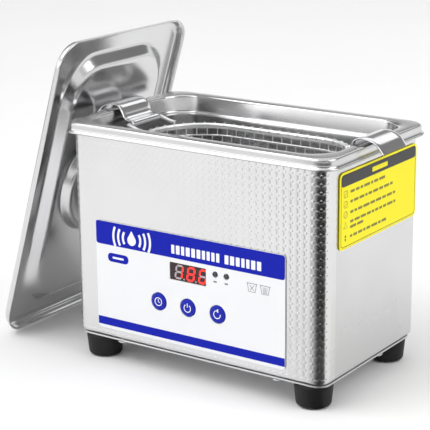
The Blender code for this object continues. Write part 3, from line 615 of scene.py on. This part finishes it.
def make_housing():
    """Closed sheet: embossed across the front and round its corners, smooth at the sides."""
    cell_z0, cell_z1 = HOUSE_BOTTOM + HEM_LOW, HOUSE_TOP - HEM_TOP
    past_corner, under_panel, raise_by = 3.9, 2.5, 0.08
    half = segment_length(PLAN[4]) / 2 + segment_length(PLAN[3]) + past_corner
    u0, u1 = FRONT_MID - half, FRONT_MID + half
    bm = bmesh.new()
    shared = {}

    def vert(u, z, lift=0.0, inset=0.0):
        key = (round(u, 3), round(z, 3), round(lift - inset, 4))
        if key not in shared:
            shared[key] = bm.verts.new((*plan_point(u, inset - lift), z))
        return shared[key]

    for points, is_big in cell_polygons(u0, u1, cell_z0, cell_z1):
        mx = sum(p[0] for p in points) / len(points)
        mz = sum(p[1] for p in points) / len(points)
        x, _ = plan_point(mx, 0.0)
        outer = [vert(*p) for p in points]
        hidden = (
            PANEL_X[0] + under_panel < x < PANEL_X[1] - under_panel
            and PANEL_Z[0] + under_panel < mz < PANEL_Z[1] - under_panel
        )
        if hidden:
            bm.faces.new(outer)
            continue
        edge = outer
        shares = (0.9, 0.7, 0.35) if is_big else (0.8, 0.5, 0.2)
        for share, lift in zip(shares, (0.0, raise_by, raise_by * 1.2)):
            inner = [
                bm.verts.new((*plan_point(mx + (px - mx) * share, -lift), mz + (pz - mz) * share))
                for px, pz in points
            ]
            bridge(bm, edge, inner)
            edge = inner
        bm.faces.new(edge)

    edge_us = sorted({k[0] for k in shared if abs(k[1] - cell_z0) < 1e-3})
    side_zs = sorted({k[1] for k in shared if abs(k[0] - round(u0, 3)) < 2e-3})

    marks = [0.0]
    for seg in PLAN:
        count = 12 if seg[0] == "arc" else 4
        marks += [marks[-1] + segment_length(seg) * s / count for s in range(1, count + 1)]
    left_us = [u for u in marks if u < u0 - 0.5] + [edge_us[0]]
    right_us = [edge_us[-1]] + [u for u in marks if u > u1 + 0.5]
    bottom = [(0.0, cell_z0)] + [
        (HEM_LOW * (1 - cos(a)), HOUSE_BOTTOM + HEM_LOW * (1 - sin(a)))
        for a in (radians(15 * s) for s in range(1, 7))
    ] + [(6.0, HOUSE_BOTTOM)]
    top = [(0.0, cell_z1)] + [
        (HEM_TOP * (1 - cos(a)), HOUSE_TOP - HEM_TOP * (1 - sin(a)))
        for a in (radians(30 * s) for s in range(1, 4))
    ] + [(3.2, HOUSE_TOP)]

    def quad(a, b, c, d, material=1):
        if len({a, b, c, d}) == 4:
            bm.faces.new((a, b, c, d)).material_index = material

    for us in (left_us, right_us):
        for a, b in zip(us, us[1:]):
            for low, high in zip(side_zs, side_zs[1:]):
                quad(vert(a, low), vert(b, low), vert(b, high), vert(a, high))
    all_us = left_us + edge_us[1:-1] + right_us
    for profile, order in ((bottom, -1), (top, 1)):
        for (d0, z0), (d1, z1) in zip(profile, profile[1:]):
            for a, b in zip(all_us, all_us[1:]):
                face = [vert(a, z0, 0, d0), vert(b, z0, 0, d0), vert(b, z1, 0, d1),
                        vert(a, z1, 0, d1)]
                quad(*face[::order], material=0 if u0 - 1e-3 < a < u1 - 1e-3 else 1)

    inner = [(6.0, HOUSE_BOTTOM + HOUSE_SHEET), (3.0, HOUSE_BOTTOM + HOUSE_SHEET),
             (HOUSE_SHEET, HOUSE_BOTTOM + 3.0), (HOUSE_SHEET, HOUSE_TOP - 2.0),
             (1.6, HOUSE_TOP - HOUSE_SHEET), (3.2, HOUSE_TOP - HOUSE_SHEET)]
    inside = [[bm.verts.new((*plan_point(u, d), z)) for u in all_us] for d, z in inner]
    rims = [[vert(u, z, 0, d) for u in all_us] for d, z in (bottom[-1], top[-1])]
    sheet = [rims[0], *inside, rims[1]]
    for low, high in zip(sheet, sheet[1:]):
        for i in range(len(all_us) - 1):
            quad(low[i + 1], low[i], high[i], high[i + 1])
    for u, index in ((all_us[0], 0), (all_us[-1], -1)):
        outside = [vert(u, z, 0, d) for d, z in bottom[:0:-1]]
        outside += [vert(u, z) for z in side_zs] + [vert(u, z, 0, d) for d, z in top[1:]]
        bm.faces.new(outside + [row[index] for row in inside[::-1]]).material_index = 1
    add_piece("embossed_wrap", bm, ["emboss", "satin"], UNIT,
              ["housing_wrap"], sharp=28.0)


def make_feet():
    profile = [(2.4, 13.1), (11.0, 13.1), (9.7, 0.0), (5.2, 0.0), (5.2, 5.6), (2.4, 5.6)]
    outer = fillet(profile[:4], 2.0, 7)
    for corner, x, y in CORNERS:
        bm = turned(outer + profile[4:] + [profile[0]], (x, y, 0), 64)
        add_piece(f"rubber_foot_{corner}", bm, ["rubber"], UNIT, [f"foot_{corner}"])


def make_screw(name, node, at, axis, flip, radius=3.0, rise=1.6):
    """A pan head screw with a cross recess, cut as four sunk arms in the head."""
    profile = [(0.0, rise), (radius * 0.55, rise * 0.93), (radius * 0.85, rise * 0.62),
               (radius, rise * 0.15), (radius, 0.0), (1.45, 0.0), (1.45, -6.0), (0.0, -6.0)]
    bm = turned(fillet(profile, 0.3, 3), at, 28, axis, flip)
    arms = []
    for turn in range(4):
        c, s = cos(pi / 2 * turn), sin(pi / 2 * turn)
        arms += [
            (c * x - s * y, s * x + c * y) for x, y in ((0.32, -0.32), (1.55, -0.22), (1.55, 0.22))
        ]
    rows = [
        [Vector(at) + across(axis, x * share, y * share, height * flip) for x, y in arms]
        for height, share in ((rise - 0.9, 0.45), (rise + 0.25, 1.0))
    ]
    cutter = bmesh.new()
    cap_ends(cutter, loft(cutter, rows))
    cutter.transform(TO_WORLD)
    bmesh.ops.recalc_face_normals(cutter, faces=cutter.faces)
    tool = new_object(f"{name}_recess", cutter)
    obj = add_piece(name, bm, ["screw"], UNIT, [node], sharp=30.0)
    cut = obj.modifiers.new("recess", "BOOLEAN")
    cut.operation = "DIFFERENCE"
    cut.object = tool
    cut.solver = "EXACT"
    bpy.context.view_layer.update()
    done = bpy.data.meshes.new_from_object(obj.evaluated_get(bpy.context.evaluated_depsgraph_get()))
    obj.modifiers.clear()
    obj.data = done
    bpy.data.objects.remove(tool, do_unlink=True)


def make_screws():
    for i, (x, y) in enumerate(BASE_SCREWS, 1):
        make_screw(f"base_pan_screw_{i}", f"base_screw_{i}", (x, y, PLATE_Z - 0.3), "Z", -1.0)
    for i, (x, z) in enumerate(BACK_SCREWS, 1):
        make_screw(f"back_pan_screw_{i}", f"back_screw_{i}", (x, HOUSE_BACK + 0.3, z), "Y", 1.0)
    for corner, x, y in CORNERS:
        make_screw(f"foot_pan_screw_{corner}", f"foot_screw_{corner}", (x, y, 5.2), "Z", -1.0,
                   3.9, 2.8)


# ---- front controls ----
def header_shapes(rng):
    """Blank stand-ins for the header's print: a sound symbol and a row of plain blocks."""
    cx, cz = -41.2, 77.4
    drop = [(cx, cz + 4.6)] + arc(cx, cz - 1.1, 3.0, 152, 388, 22)
    shapes = [drop]
    for k, radius in enumerate((6.2, 9.6, 13.0)):
        spread = 34 - 4 * k
        shapes.append(stroke(arc(cx, cz - 0.4, radius, -spread, spread, 14), 1.5))
        shapes.append(stroke(arc(cx, cz - 0.4, radius, 180 - spread, 180 + spread, 14), 1.5))
    x = -13.5
    for count in (10, 7):
        for _ in range(count):
            width = rng.choice((2.1, 2.5, 2.7))
            shapes.append(rect(x, 73.7, x + width, 78.8, 0.35))
            x += width + 1.05
        x += 2.4
    return shapes


def bucket_icons():
    """Two line drawings of a bin, one crossed and one with upright lines."""
    shapes = []
    for x, crossed in ((39.8, True), (48.2, False)):
        low, high, z0, z1 = 2.1, 2.9, 61.0, 65.6
        outline = [(x - high, z1), (x - low, z0), (x + low, z0), (x + high, z1)]
        shapes.append(stroke(outline, 0.34))
        shapes.append(stroke([(x - high - 0.5, z1 + 0.1), (x + high + 0.5, z1 + 0.1)], 0.34))
        if crossed:
            shapes.append(stroke([(x - 1.3, 61.8), (x + 1.5, 64.8)], 0.3))
            shapes.append(stroke([(x + 1.3, 61.8), (x - 1.5, 64.8)], 0.3))
        else:
            for k in (-1.3, -0.45, 0.45, 1.3):
                shapes.append(stroke([(x + k * 0.8, 61.3), (x + k, 64.9)], 0.26))
    return shapes


def make_panel_print():
    rng = random.Random(4)
    x0, x1 = PANEL_X
    bm = bmesh.new()
    prism(bm, rect(x0 + 0.1, 71.2, x1 - 0.1, PANEL_Z[1] - 0.1, 1.6), on_front)
    prism(bm, rect(x0 + 0.1, 22.4, x1 - 0.1, 27.2), on_front)
    prism(bm, rect(-58.6, 61.5, -43.8, 66.7, 2.4), on_front)
    for shape in header_shapes(rng):
        prism(bm, shape, on_front, *OVERPRINT, 1)
    prism(bm, rect(-55.2, 63.5, -47.2, 64.7, 0.5), on_front, *OVERPRINT, 1)
    for x in LAMP_X:
        prism(bm, rect(x - 1.1, 61.9, x + 1.1, 62.8, 0.3), on_front, material=2)
    for shape in bucket_icons():
        prism(bm, shape, on_front, material=2)
    add_piece("panel_print", bm, ["blue", "white", "grey"], UNIT)


def segment_bar(a, b, width):
    """A display segment: a bar with pointed ends between two points."""
    (ax, az), (bx, bz) = a, b
    length = hypot(bx - ax, bz - az)
    tx, tz = (bx - ax) / length, (bz - az) / length
    nx, nz = -tz * width / 2, tx * width / 2
    gap, tip = width * 0.18, width * 0.62
    ax, az, bx, bz = ax + tx * gap, az + tz * gap, bx - tx * gap, bz - tz * gap
    ix, iz = tx * (tip - gap), tz * (tip - gap)
    return [(ax, az), (ax + ix - nx, az + iz - nz), (bx - ix - nx, bz - iz - nz), (bx, bz),
            (bx - ix + nx, bz - iz + nz), (ax + ix + nx, az + iz + nz)]


def make_digits():
    """Three slanted seven-segment digits on the window, the last cut off at its edge."""
    half_w, half_h, slant = 2.15, 3.7, tan(radians(9))
    ends = {
        "a": ((-1, 1), (1, 1)), "b": ((1, 1), (1, 0)), "c": ((1, 0), (1, -1)),
        "d": ((-1, -1), (1, -1)), "e": ((-1, 0), (-1, -1)), "f": ((-1, 1), (-1, 0)),
        "g": ((-1, 0), (1, 0)),
    }
    bm = bmesh.new()
    middle = DISPLAY[1]
    right_edge = DISPLAY[0] + DISPLAY[2] / 2 - 0.1
    for x, lit in ((-8.5, "bc"), (-0.5, "abcdefg"), (7.5, "abcdef")):
        for key, (p, q) in ends.items():
            a, b = ((s * half_w, t * half_h) for s, t in (p, q))
            bar = [(x + u + v * slant, middle + v) for u, v in segment_bar(a, b, 1.15)]
            bar = clip(bar, 0, right_edge, -1)
            if len(bar) > 2:
                prism(bm, bar, on_front, *ON_WINDOW, 0 if key in lit else 1)
        if x < 5:
            dot = [(x + 3.3 + u, middle - half_h - 0.1 + v) for u, v in arc(0, 0, 0.5, 0, 340, 14)]
            prism(bm, dot, on_front, *ON_WINDOW, 1)
    add_piece("display_digits", bm, ["lit", "off"], UNIT)


def button_symbol(name, x):
    """A clock, a power sign or a turning arrow."""
    z, width = BUTTON_Z, 0.5
    if name == "time":
        return [stroke(arc(x, z, 2.3, 0, 357, 40), width),
                stroke([(x, z - 0.2), (x, z + 1.5)], 0.42),
                stroke([(x - 0.15, z), (x + 1.2, z - 0.5)], 0.42)]
    if name == "power":
        return [stroke(arc(x, z - 0.2, 2.2, -235, 55, 34), width),
                stroke([(x, z + 0.3), (x, z + 2.7)], width)]
    u, v = x + 2.2 * cos(radians(70)), z + 2.2 * sin(radians(70))
    return [stroke(arc(x, z, 2.2, 90, 370, 34), width),
            [(u - 2.0, v + 0.15), (u + 0.1, v + 1.3), (u + 0.1, v - 1.0)]]


def make_buttons():
    profile = [(0.0, 1.2), (BUTTON_R - 1.2, 1.15), (BUTTON_R, 0.75), (BUTTON_R, -0.5),
               (BUTTON_R + 1.1, -0.5), (BUTTON_R + 1.1, -1.3), (0.0, -1.3)]
    for name, x in BUTTON_AT:
        bm = turned(fillet(profile, 0.5, 5), (x, PANEL_FRONT + 0.6, BUTTON_Z), 64, "Y", -1.0)
        add_piece(f"push_cap_{name}", bm, ["button"], f"button_{name}",
                  [f"button_{name}"])
        bm = bmesh.new()
        for shape in button_symbol(name, x):
            prism(bm, shape, on_button, 0.004, 0.03)
        add_piece(f"push_symbol_{name}", bm, ["white"], f"button_{name}")


def make_lamps():
    profile = [(0.0, 0.1), (0.7, 0.02), (1.3, -0.3), (1.55, -0.8), (1.55, -4.8), (1.9, -4.8),
               (1.9, -5.6), (0.0, -5.6)]
    for i, x in enumerate(LAMP_X, 1):
        bm = turned(fillet(profile, 0.3, 4), (x, PANEL_FRONT, LAMP_Z), 40, "Y", -1.0)
        add_piece(f"lamp_{i}", bm, ["led"], UNIT, [f"status_led_{i}"])


def make_label_print():
    """Blank stand-ins for the side label's print: border, header band, rows and symbols."""
    rng = random.Random(9)
    y0, y1, z0, z1 = LABEL_Y - 41.2, LABEL_Y + 41.2, LABEL_Z - 19.6, LABEL_Z + 19.6
    bm = bmesh.new()
    line = rect(y0, z0, y1, z1, 2.0)
    prism(bm, stroke(line + [line[0]], 0.34), on_label)
    prism(bm, rect(y0, z1 - 6.4, y1, z1, 2.0), on_label)
    prism(bm, rect(LABEL_Y - 8.5, z1 - 4.6, LABEL_Y + 8.5, z1 - 2.0, 0.5), on_label,
          *OVERPRINT, 2)
    rows = ((z1 - 10.2, 38), (z1 - 15.6, 47), (z1 - 21.4, 52), (z1 - 26.6, 50), (z1 - 29.6, 16),
            (z1 - 34.6, 42))
    for z, length in rows:
        for bar in word_bars(rng, y0 + 9.5, y0 + 9.5 + length, z, 1.45, (2.2, 7.0), 1.1):
            prism(bm, bar, on_label, material=1)
    marks = [(y0 + 4.6, z) for z in (z1 - 10.6, z1 - 16.2, z1 - 21.8, z1 - 27.6)]
    for k, (y, z) in enumerate(marks):
        if k == 3:
            sign = [(y - 1.9, z - 1.5), (y + 1.9, z - 1.5), (y, z + 1.8), (y - 1.9, z - 1.5)]
            prism(bm, stroke(sign, 0.32), on_label, material=1)
            continue
        ring = rect(y - 1.8, z - 1.7, y + 1.8, z + 1.7, 0.6 + 0.5 * k)
        prism(bm, stroke(ring + [ring[0]], 0.32), on_label, material=1)
        prism(bm, stroke([(y - 1.1, z - 0.9), (y + 1.1, z + 0.9)], 0.3), on_label, material=1)
    y, z = y0 + 4.6, z1 - 34.6
    prism(bm, [(y - 0.9, z + 0.4), (y + 0.9, z + 0.4), (y, z + 2.0)], on_label)
    prism(bm, [(y - 0.9, z - 0.4), (y, z - 2.0), (y + 0.9, z - 0.4)], on_label)
    add_piece("label_print", bm, ["ink", "olive", "label"], UNIT)


def make_inlet():
    """Appliance inlet: rounded bezel, keyed socket and three flat pins."""
    def key_outline(hx, hz, cut):
        corners = [(hx, -hz), (hx, hz - cut), (hx - cut, hz), (-hx + cut, hz), (-hx, hz - cut),
                   (-hx, -hz)]
        return fillet([corners[-1], *corners, corners[0]], 0.9, 3)[1:-1]

    outer = key_outline(15.5, 12.0, 0.01)
    body = key_outline(13.5, 9.8, 0.01)
    mouth = key_outline(12.2, 8.3, 4.0)
    rings = [(body, -22.4, 1.0), (body, -2.61, 1.0), (outer, -2.6, 1.0), (outer, -0.6, 1.0),
             (outer, -0.15, 0.985), (outer, 0.0, 0.96), (mouth, 0.0, 1.03), (mouth, -0.4, 1.0),
             (mouth, INLET_FLOOR - INLET_FACE, 1.0)]
    bm = bmesh.new()
    cap_ends(bm, loft(bm, [
        [(INLET_X + x * share, INLET_FACE + back, INLET_Z + z * share) for x, z in outline]
        for outline, back, share in rings
    ]))
    for px, pz in ((-7, -2), (0, 2), (7, -2)):
        blade = rect(px - 1.0, pz - 2.0, px + 1.0, pz + 2.0, 0.3)
        prism(bm, blade, in_inlet, 0.0, 13.4, 1)
    add_piece("appliance_inlet", bm, ["black", "screw"], UNIT, ["mains_inlet"])


# ---- basket ----
def stadium(s, inset):
    """(x, y, nx, ny) at a share 0 to 1 of the way round the basket's outline."""
    run = 2 * (BASKET_X - BASKET_Y)
    bend = pi * BASKET_Y
    u = (s % 1.0) * 2 * (run + bend)
    r = BASKET_Y - inset
    for sign in (1, -1):
        if u < run:
            return (sign * (u - run / 2), -sign * r, 0.0, -sign)
        u -= run
        if u < bend:
            a = radians(-90 if sign > 0 else 90) + u / BASKET_Y
            return (sign * run / 2 + r * cos(a), r * sin(a), cos(a), sin(a))
        u -= bend
    return (-run / 2, -r, 0.0, -1.0)


def make_basket_mesh():
    """Wire basket: hoops and staggered uprights like laid bricks, with a netted base."""
    base_inset, base_z = 11.0, BASKET_BOTTOM + 0.5
    wall = fillet([(0.6, BASKET_TOP), (2.4, BASKET_BOTTOM + 16), (5.0, BASKET_BOTTOM + 4),
                   (base_inset, base_z)], 7.0, 8)
    lengths = [0.0]
    for (d0, z0), (d1, z1) in zip(wall, wall[1:]):
        lengths.append(lengths[-1] + hypot(d1 - d0, z1 - z0))

    def at_length(length):
        for k in range(len(wall) - 1):
            if length <= lengths[k + 1]:
                t = (length - lengths[k]) / (lengths[k + 1] - lengths[k])
                return between(wall[k], wall[k + 1], t)
        return wall[-1]

    rows, columns, lines, gap, gauge, thin = 10, 52, 10, 6.4, 0.45, 0.45 * 0.92
    bm = bmesh.new()
    step = lengths[-1] / rows
    for row in range(rows + 1):
        d, z = at_length(row * step)
        hoop = []
        for k in range(columns * 4):
            wave = 0.16 * cos(pi * (k / 2 + row))
            x, y, nx, ny = stadium(k / (columns * 4), d)
            hoop.append((x + nx * wave, y + ny * wave, z))
        tube(bm, hoop, gauge, 6, True)
        if row == rows:
            break
        for k in range(columns):
            s = (k + 0.5 * (row % 2)) / columns
            points = []
            for t in (0.0, 0.5, 1.0):
                d1, z1 = at_length((row + t) * step)
                x, y, nx, ny = stadium(s, d1 - 0.15)
                points.append((x, y, z1))
            tube(bm, points, thin, 6)
    reach_x, reach_y = BASKET_X - base_inset, BASKET_Y - base_inset
    previous = None
    for k in range(lines + 1):
        y = reach_y * (2 * k / lines - 1) * 0.96
        end = reach_x - reach_y + sqrt(max(reach_y**2 - y**2, 0.0))
        tube(bm, [(-end + 2 * end * s / 12, y, base_z) for s in range(13)], gauge, 6)
        if previous is not None:
            span = min(end, previous[1])
            count = int(2 * span / gap)
            for c in range(count + 1):
                x = (c - count / 2 + 0.5 * (k % 2)) * gap
                if abs(x) < span:
                    tube(bm, [(x, previous[0], base_z + 0.2), (x, y, base_z + 0.2)], thin, 6)
        previous = (y, end)
    for k in range(columns):
        x, y, nx, ny = stadium((k + 0.25) / columns, RIM_INSET)
        loop = [
            (x + nx * out, y + ny * out, RIM_Z + up)
            for out, up in arc(0, 0, RIM_R + 0.36, -75, 221, 8)
        ]
        tube(bm, loop, 0.34, 6)
    add_piece("basket_netting", bm, ["wire"], "basket", ["basket_mesh"],
              sharp=60.0, closed=False)


def make_basket_frame():
    """Rim wire, sheet handles that hook over the flange, and the wires they hang on."""
    bm = bmesh.new()
    rim = [(*stadium(k / 180, RIM_INSET)[:2], RIM_Z) for k in range(180)]
    tube(bm, rim, RIM_R, 12, True)
    add_piece("basket_rim_wire", bm, ["wire"], "basket", ["basket_rim"],
              closed=False)

    cx, cz = CURL
    bend = [
        (96.4, 135.6), (95.0, 137.4), (93.0, 139.6), (90.6, 141.4), (87.6, 142.6), (84.2, 143.0),
        (80.8, 142.5), (78.4, 140.9), (77.0, 138.6), (76.0, 136.2), (74.4, 134.7), (72.4, 134.2),
    ]
    curl = arc(cx, cz, CURL_R, 100, 370, 18)
    path = [(p.x, p.z) for p in smooth_route([(x, 0, z) for x, z in bend + curl[:1]])]
    path = path[:-1] + curl
    end_r = BASKET_Y - 1.2
    end_x = BASKET_X - RIM_INSET - end_r + sqrt(end_r**2 - (HANGER_Y - 0.5) ** 2)
    leg_z = RIM_Z + RIM_R + 0.3 + HANGER_R
    leg = [
        (end_x, HANGER_Y, leg_z), (end_x + 3.5, HANGER_Y, leg_z + 0.4),
        (cx - 2.0, HANGER_Y, cz - 0.5), (cx, HANGER_Y - 0.2, cz),
    ]
    near = [tuple(p) for p in smooth_route(leg)]
    bar = [(cx, 13.0 - 26.0 * k / 8, cz) for k in range(9)]
    route = near + bar + [(x, -y, z) for x, y, z in near[::-1]]
    for name, side in (("left", -1), ("right", 1)):
        bm = bmesh.new()
        strip(bm, [(side * x, z) for x, z in path], HANDLE_W, HANDLE_T, 8)
        add_piece(f"handle_strip_{name}", bm, ["handle"], "basket",
                  [f"basket_handle_{name}"])
        bm = bmesh.new()
        tube(bm, [(side * x, y, z) for x, y, z in route], HANGER_R, 12)
        add_piece(f"hanger_wire_{name}", bm, ["wire"], "basket",
                  [f"basket_hanger_{name}"])


# ---- lid ----
def make_lid():
    """Pressed lid: flared lip, sloped plug and a round well, with a strap handle."""
    corner_angles = [
        sign * radians(26.5 + 1.4 * k) + half_turn
        for half_turn in (0, pi)
        for sign in (1, -1)
        for k in range(8)
    ]
    even_angles = [radians(2 * k) for k in range(180)]
    angles = sorted({round(a % (2 * pi), 5) for a in even_angles + corner_angles})
    rect_path = fillet(
        [(-LID_FLARE, 15.3, -LID_LIP), (0.1, 12.9, 0.0), (11.4, 24.0, 0.0),
         (17.4, 21.0, LID_PLUG), (24.0, 18.0, LID_PLUG)], 2.2, 6,
    )
    rings = [
        [(x, y, z) for x, y in ray_outline(LID_X - d, LID_Y - d, r, angles)]
        for d, r, z in rect_path[:-1]
    ]
    well = fillet(
        [(38.0, LID_PLUG), (34.9, LID_PLUG), (32.9, LID_WELL), (28.0, LID_WELL)], 1.9, 6
    )
    well += [(r, LID_WELL) for r in (22, 16, 10, 5)]
    for r, z in [(36.8, LID_PLUG)] + [p for p in well if p[0] < 36.5]:
        rings.append([(r * cos(a), r * sin(a), z) for a in angles])
    bm = bmesh.new()
    rows = loft(bm, rings)
    fan(bm, rows[-1])
    lid = add_piece("lid_pressing", bm, ["lid"], "lid", ["lid"],
                    matrix=LID_TO_WORLD, closed=False)
    thicken(lid)
    foot = LID_PLUG + 1.1
    path = [(-44, foot), (-38.5, foot), (-33, -2.6), (-27, -1.4), (27, -1.4), (33, -2.6),
            (38.5, foot), (44, foot)]
    bm = bmesh.new()
    strip(bm, fillet(path, 3.0, 5), 16.0, 1.6, 6)
    add_piece("lid_strap", bm, ["handle"], "lid", ["lid_handle"],
              matrix=LID_TO_WORLD)


# ---- carried-over CAD nodes ----
def dress_cad_nodes():
    looks = {
        "overlay": ["overlay_panel"],
        "lens": ["display_lens"],
        "label": ["side_label"],
        "satin": ["back_panel"],
        "plate": ["base_plate"],
        "silicone": ["flange_gasket"],
        "black": ["display_module", "tact_switch_time", "tact_switch_power", "tact_switch_reset",
                  "control_frame", "board_rail_left", "board_rail_right", "bulk_capacitor"],
        "board": ["control_board", "generator_board"],
        "machined": ["transducer_front_mass", "heat_sink"],
        "screw": ["transducer_back_mass", "transducer_bolt"],
        "ceramic": ["piezo_ring_1", "piezo_ring_2"],
        "brass": ["electrode_1", "electrode_2"],
        "ferrite": ["output_transformer"],
        "cable": ["mains_cable"],
        "lead": ["transducer_lead", "control_cable"],
    }
    for key, names in looks.items():
        for name in names:
            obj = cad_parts[name]
            obj.data.materials.clear()
            obj.data.materials.append(MAT[key])


# ---- stage ----
def make_floor():
    bm = bmesh.new()
    bmesh.ops.create_grid(bm, x_segments=2, y_segments=2, size=6.0)
    floor = new_object("floor", bm)
    made = Surface("pale_floor", (0.96, 0.96, 0.96), 0.9)
    made.vary_colour(made.noise(3.0), (0.94, 0.94, 0.94))
    floor.data.materials.append(made.mat)
    floor.location.z = -0.0004


def grey_ramp(tree, value, stops):
    """Grey levels at places from 0 to 1 of a value."""
    ramp = add_node(tree, "ValToRGB", Fac=value)
    while len(ramp.color_ramp.elements) < len(stops):
        ramp.color_ramp.elements.new(0.5)
    for element, (place, level) in zip(ramp.color_ramp.elements, stops):
        element.position = place
        element.color = (level, level, level, 1.0)
    return ramp.outputs["Color"]


def make_reflection_card(name, at, start, stop, reach, levels):
    """Painted reflection: a glowing card just above the floor, hidden from the camera, diffuse light
    and shadows, so it is seen only in reflections, where its grey levels paint dark and grey bands
    into the metal; a sector with a grey level for each share of its sweep in degrees."""
    bm = bmesh.new()
    centre = bm.verts.new((0.0, 0.0, 0.0))
    edge = [bm.verts.new((x, y, 0.0)) for x, y in arc(0.0, 0.0, reach, start, stop, 40)]
    for first, second in zip(edge, edge[1:]):
        bm.faces.new((centre, first, second))
    card = new_object(name, bm)
    mat = bpy.data.materials.new(name)
    mat.use_nodes = True
    tree = mat.node_tree
    tree.nodes.clear()
    coords = add_node(tree, "TexCoord")
    sweep = add_node(tree, "TexGradient", {"gradient_type": "RADIAL"},
                     Vector=coords.outputs["Object"])
    grey = grey_ramp(tree, sweep.outputs["Fac"], [
        ((start + (stop - start) * share + 180.0) / 360.0, level) for share, level in levels
    ])
    # emitted grey that paints reflections only; hidden from diffuse rays, the card lights nothing
    glow = add_node(tree, "Emission", Color=grey)
    add_node(tree, "OutputMaterial", Surface=glow.outputs[0])
    card.data.materials.append(mat)
    card.location = ORIGIN + Vector((*at, -0.2)) * MM
    card.visible_camera = card.visible_diffuse = card.visible_shadow = False
    card.visible_transmission = card.visible_volume_scatter = False


def make_world():
    """White backdrop up to 12 degrees, a dim ceiling and a soft glow from the front left; the
    camera itself sees plain white."""
    world = bpy.data.worlds.new("studio")
    bpy.context.scene.world = world
    world.use_nodes = True
    tree = world.node_tree
    tree.nodes.clear()
    toward = add_node(tree, "TexCoord").outputs["Generated"]
    split = add_node(tree, "SeparateXYZ", Vector=toward)
    height = map_range(tree, split.outputs["Z"], -1.0, 1.0, 0.0, 1.0)
    rise = grey_ramp(tree, height, ((0.0, 0.9), (0.606, 0.95), (0.617, 0.26), (0.78, 0.2),
                                    (0.93, 0.4), (1.0, 0.5)))
    near_glow = add_node(tree, "VectorMath", {"operation": "DOT_PRODUCT"}, Vector=toward)
    near_glow.inputs[1].default_value = Vector((-0.62, -0.58, 0.53)).normalized()
    lobe = map_range(tree, near_glow.outputs["Value"], 0.55, 0.9, 0.0, 0.85, "SMOOTHSTEP")
    both = add_node(tree, "Mix", {"data_type": "RGBA", "blend_type": "ADD"}, A=rise, B=lobe,
                    Factor=1.0)
    glow = add_node(tree, "Background", Color=both.outputs["Result"])
    plain = add_node(tree, "Background", Color=(1.0, 1.0, 1.0, 1.0))
    pick = add_node(tree, "MixShader", Fac=add_node(tree, "LightPath").outputs["Is Camera Ray"])
    tree.links.new(glow.outputs[0], pick.inputs[1])
    tree.links.new(plain.outputs[0], pick.inputs[2])
    add_node(tree, "OutputWorld", Surface=pick.outputs[0])


def add_light(name, at, target, size, energy):
    data = bpy.data.lights.new(name, "AREA")
    data.shape = "RECTANGLE"
    data.size, data.size_y = size
    data.energy = energy
    obj = linked(name, data)
    obj.location = at
    obj.rotation_euler = (Vector(target) - Vector(at)).to_track_quat("-Z", "Y").to_euler()


def add_overhead(strength):
    """Very soft light from straight above, even across the whole floor."""
    data = bpy.data.lights.new("overhead", "SUN")
    data.energy = strength
    data.angle = radians(70.0)
    linked("overhead", data)


def make_camera():
    yaw, pitch = radians(CAMERA_YAW), radians(CAMERA_PITCH)
    forward = Vector((-sin(yaw) * cos(pitch), cos(yaw) * cos(pitch),
                      -sin(pitch)))
    right = forward.cross(Vector((0, 0, 1))).normalized()
    up = right.cross(forward)
    roll = Matrix.Rotation(radians(CAMERA_ROLL), 3, "Z")
    turn = Matrix((right, up, -forward)).transposed() @ roll
    data = bpy.data.cameras.new("camera")
    data.lens = CAMERA_LENS
    data.sensor_width = 36.0
    data.shift_x, data.shift_y = CAMERA_SHIFT
    data.clip_start, data.clip_end = 0.05, 50.0
    camera = linked("camera", data)
    camera.matrix_world = Matrix.Translation(ORIGIN + CAMERA_AT) @ turn.to_4x4()
    bpy.context.scene.camera = camera


make_camera()
make_tank()
make_housing()
make_feet()
make_screws()
make_panel_print()
make_digits()
make_buttons()
make_lamps()
make_label_print()
make_inlet()
make_basket_mesh()
make_basket_frame()
make_lid()
dress_cad_nodes()
make_floor()
# Painted reflections: two glowing cards seen only in reflections paint dark sectors into the metal,
# one spreading forward and to the right from near the front right corner, one spreading back and to
# the left from behind the left side
make_reflection_card("corner_reflection_card", (76.3, -43.9), -118.0, -8.0, 1.6,
          ((0.0, 0.8), (0.12, 0.5), (0.3, 0.2), (0.42, 0.02), (0.96, 0.02), (1.0, 0.5)))
make_reflection_card("rear_reflection_card", (-95.0, 75.0), 85.0, 178.0, 1.6,
          ((0.0, 0.5), (0.1, 0.04), (0.9, 0.04), (1.0, 0.5)))
make_world()
add_light("key", (-0.9, -1.1, 1.7), (0.0, 0.0, 0.05), (1.6, 1.2), 12.0)
add_light("fill", (1.5, 0.2, 1.3), (0.0, 0.0, 0.1), (1.2, 1.2), 12.0)
add_light("back", (-0.3, 1.6, 1.4), (0.0, 0.0, 0.1), (1.6, 0.8), 4.0)
add_overhead(0.6)
bpy.context.scene.view_settings.view_transform = "Standard"
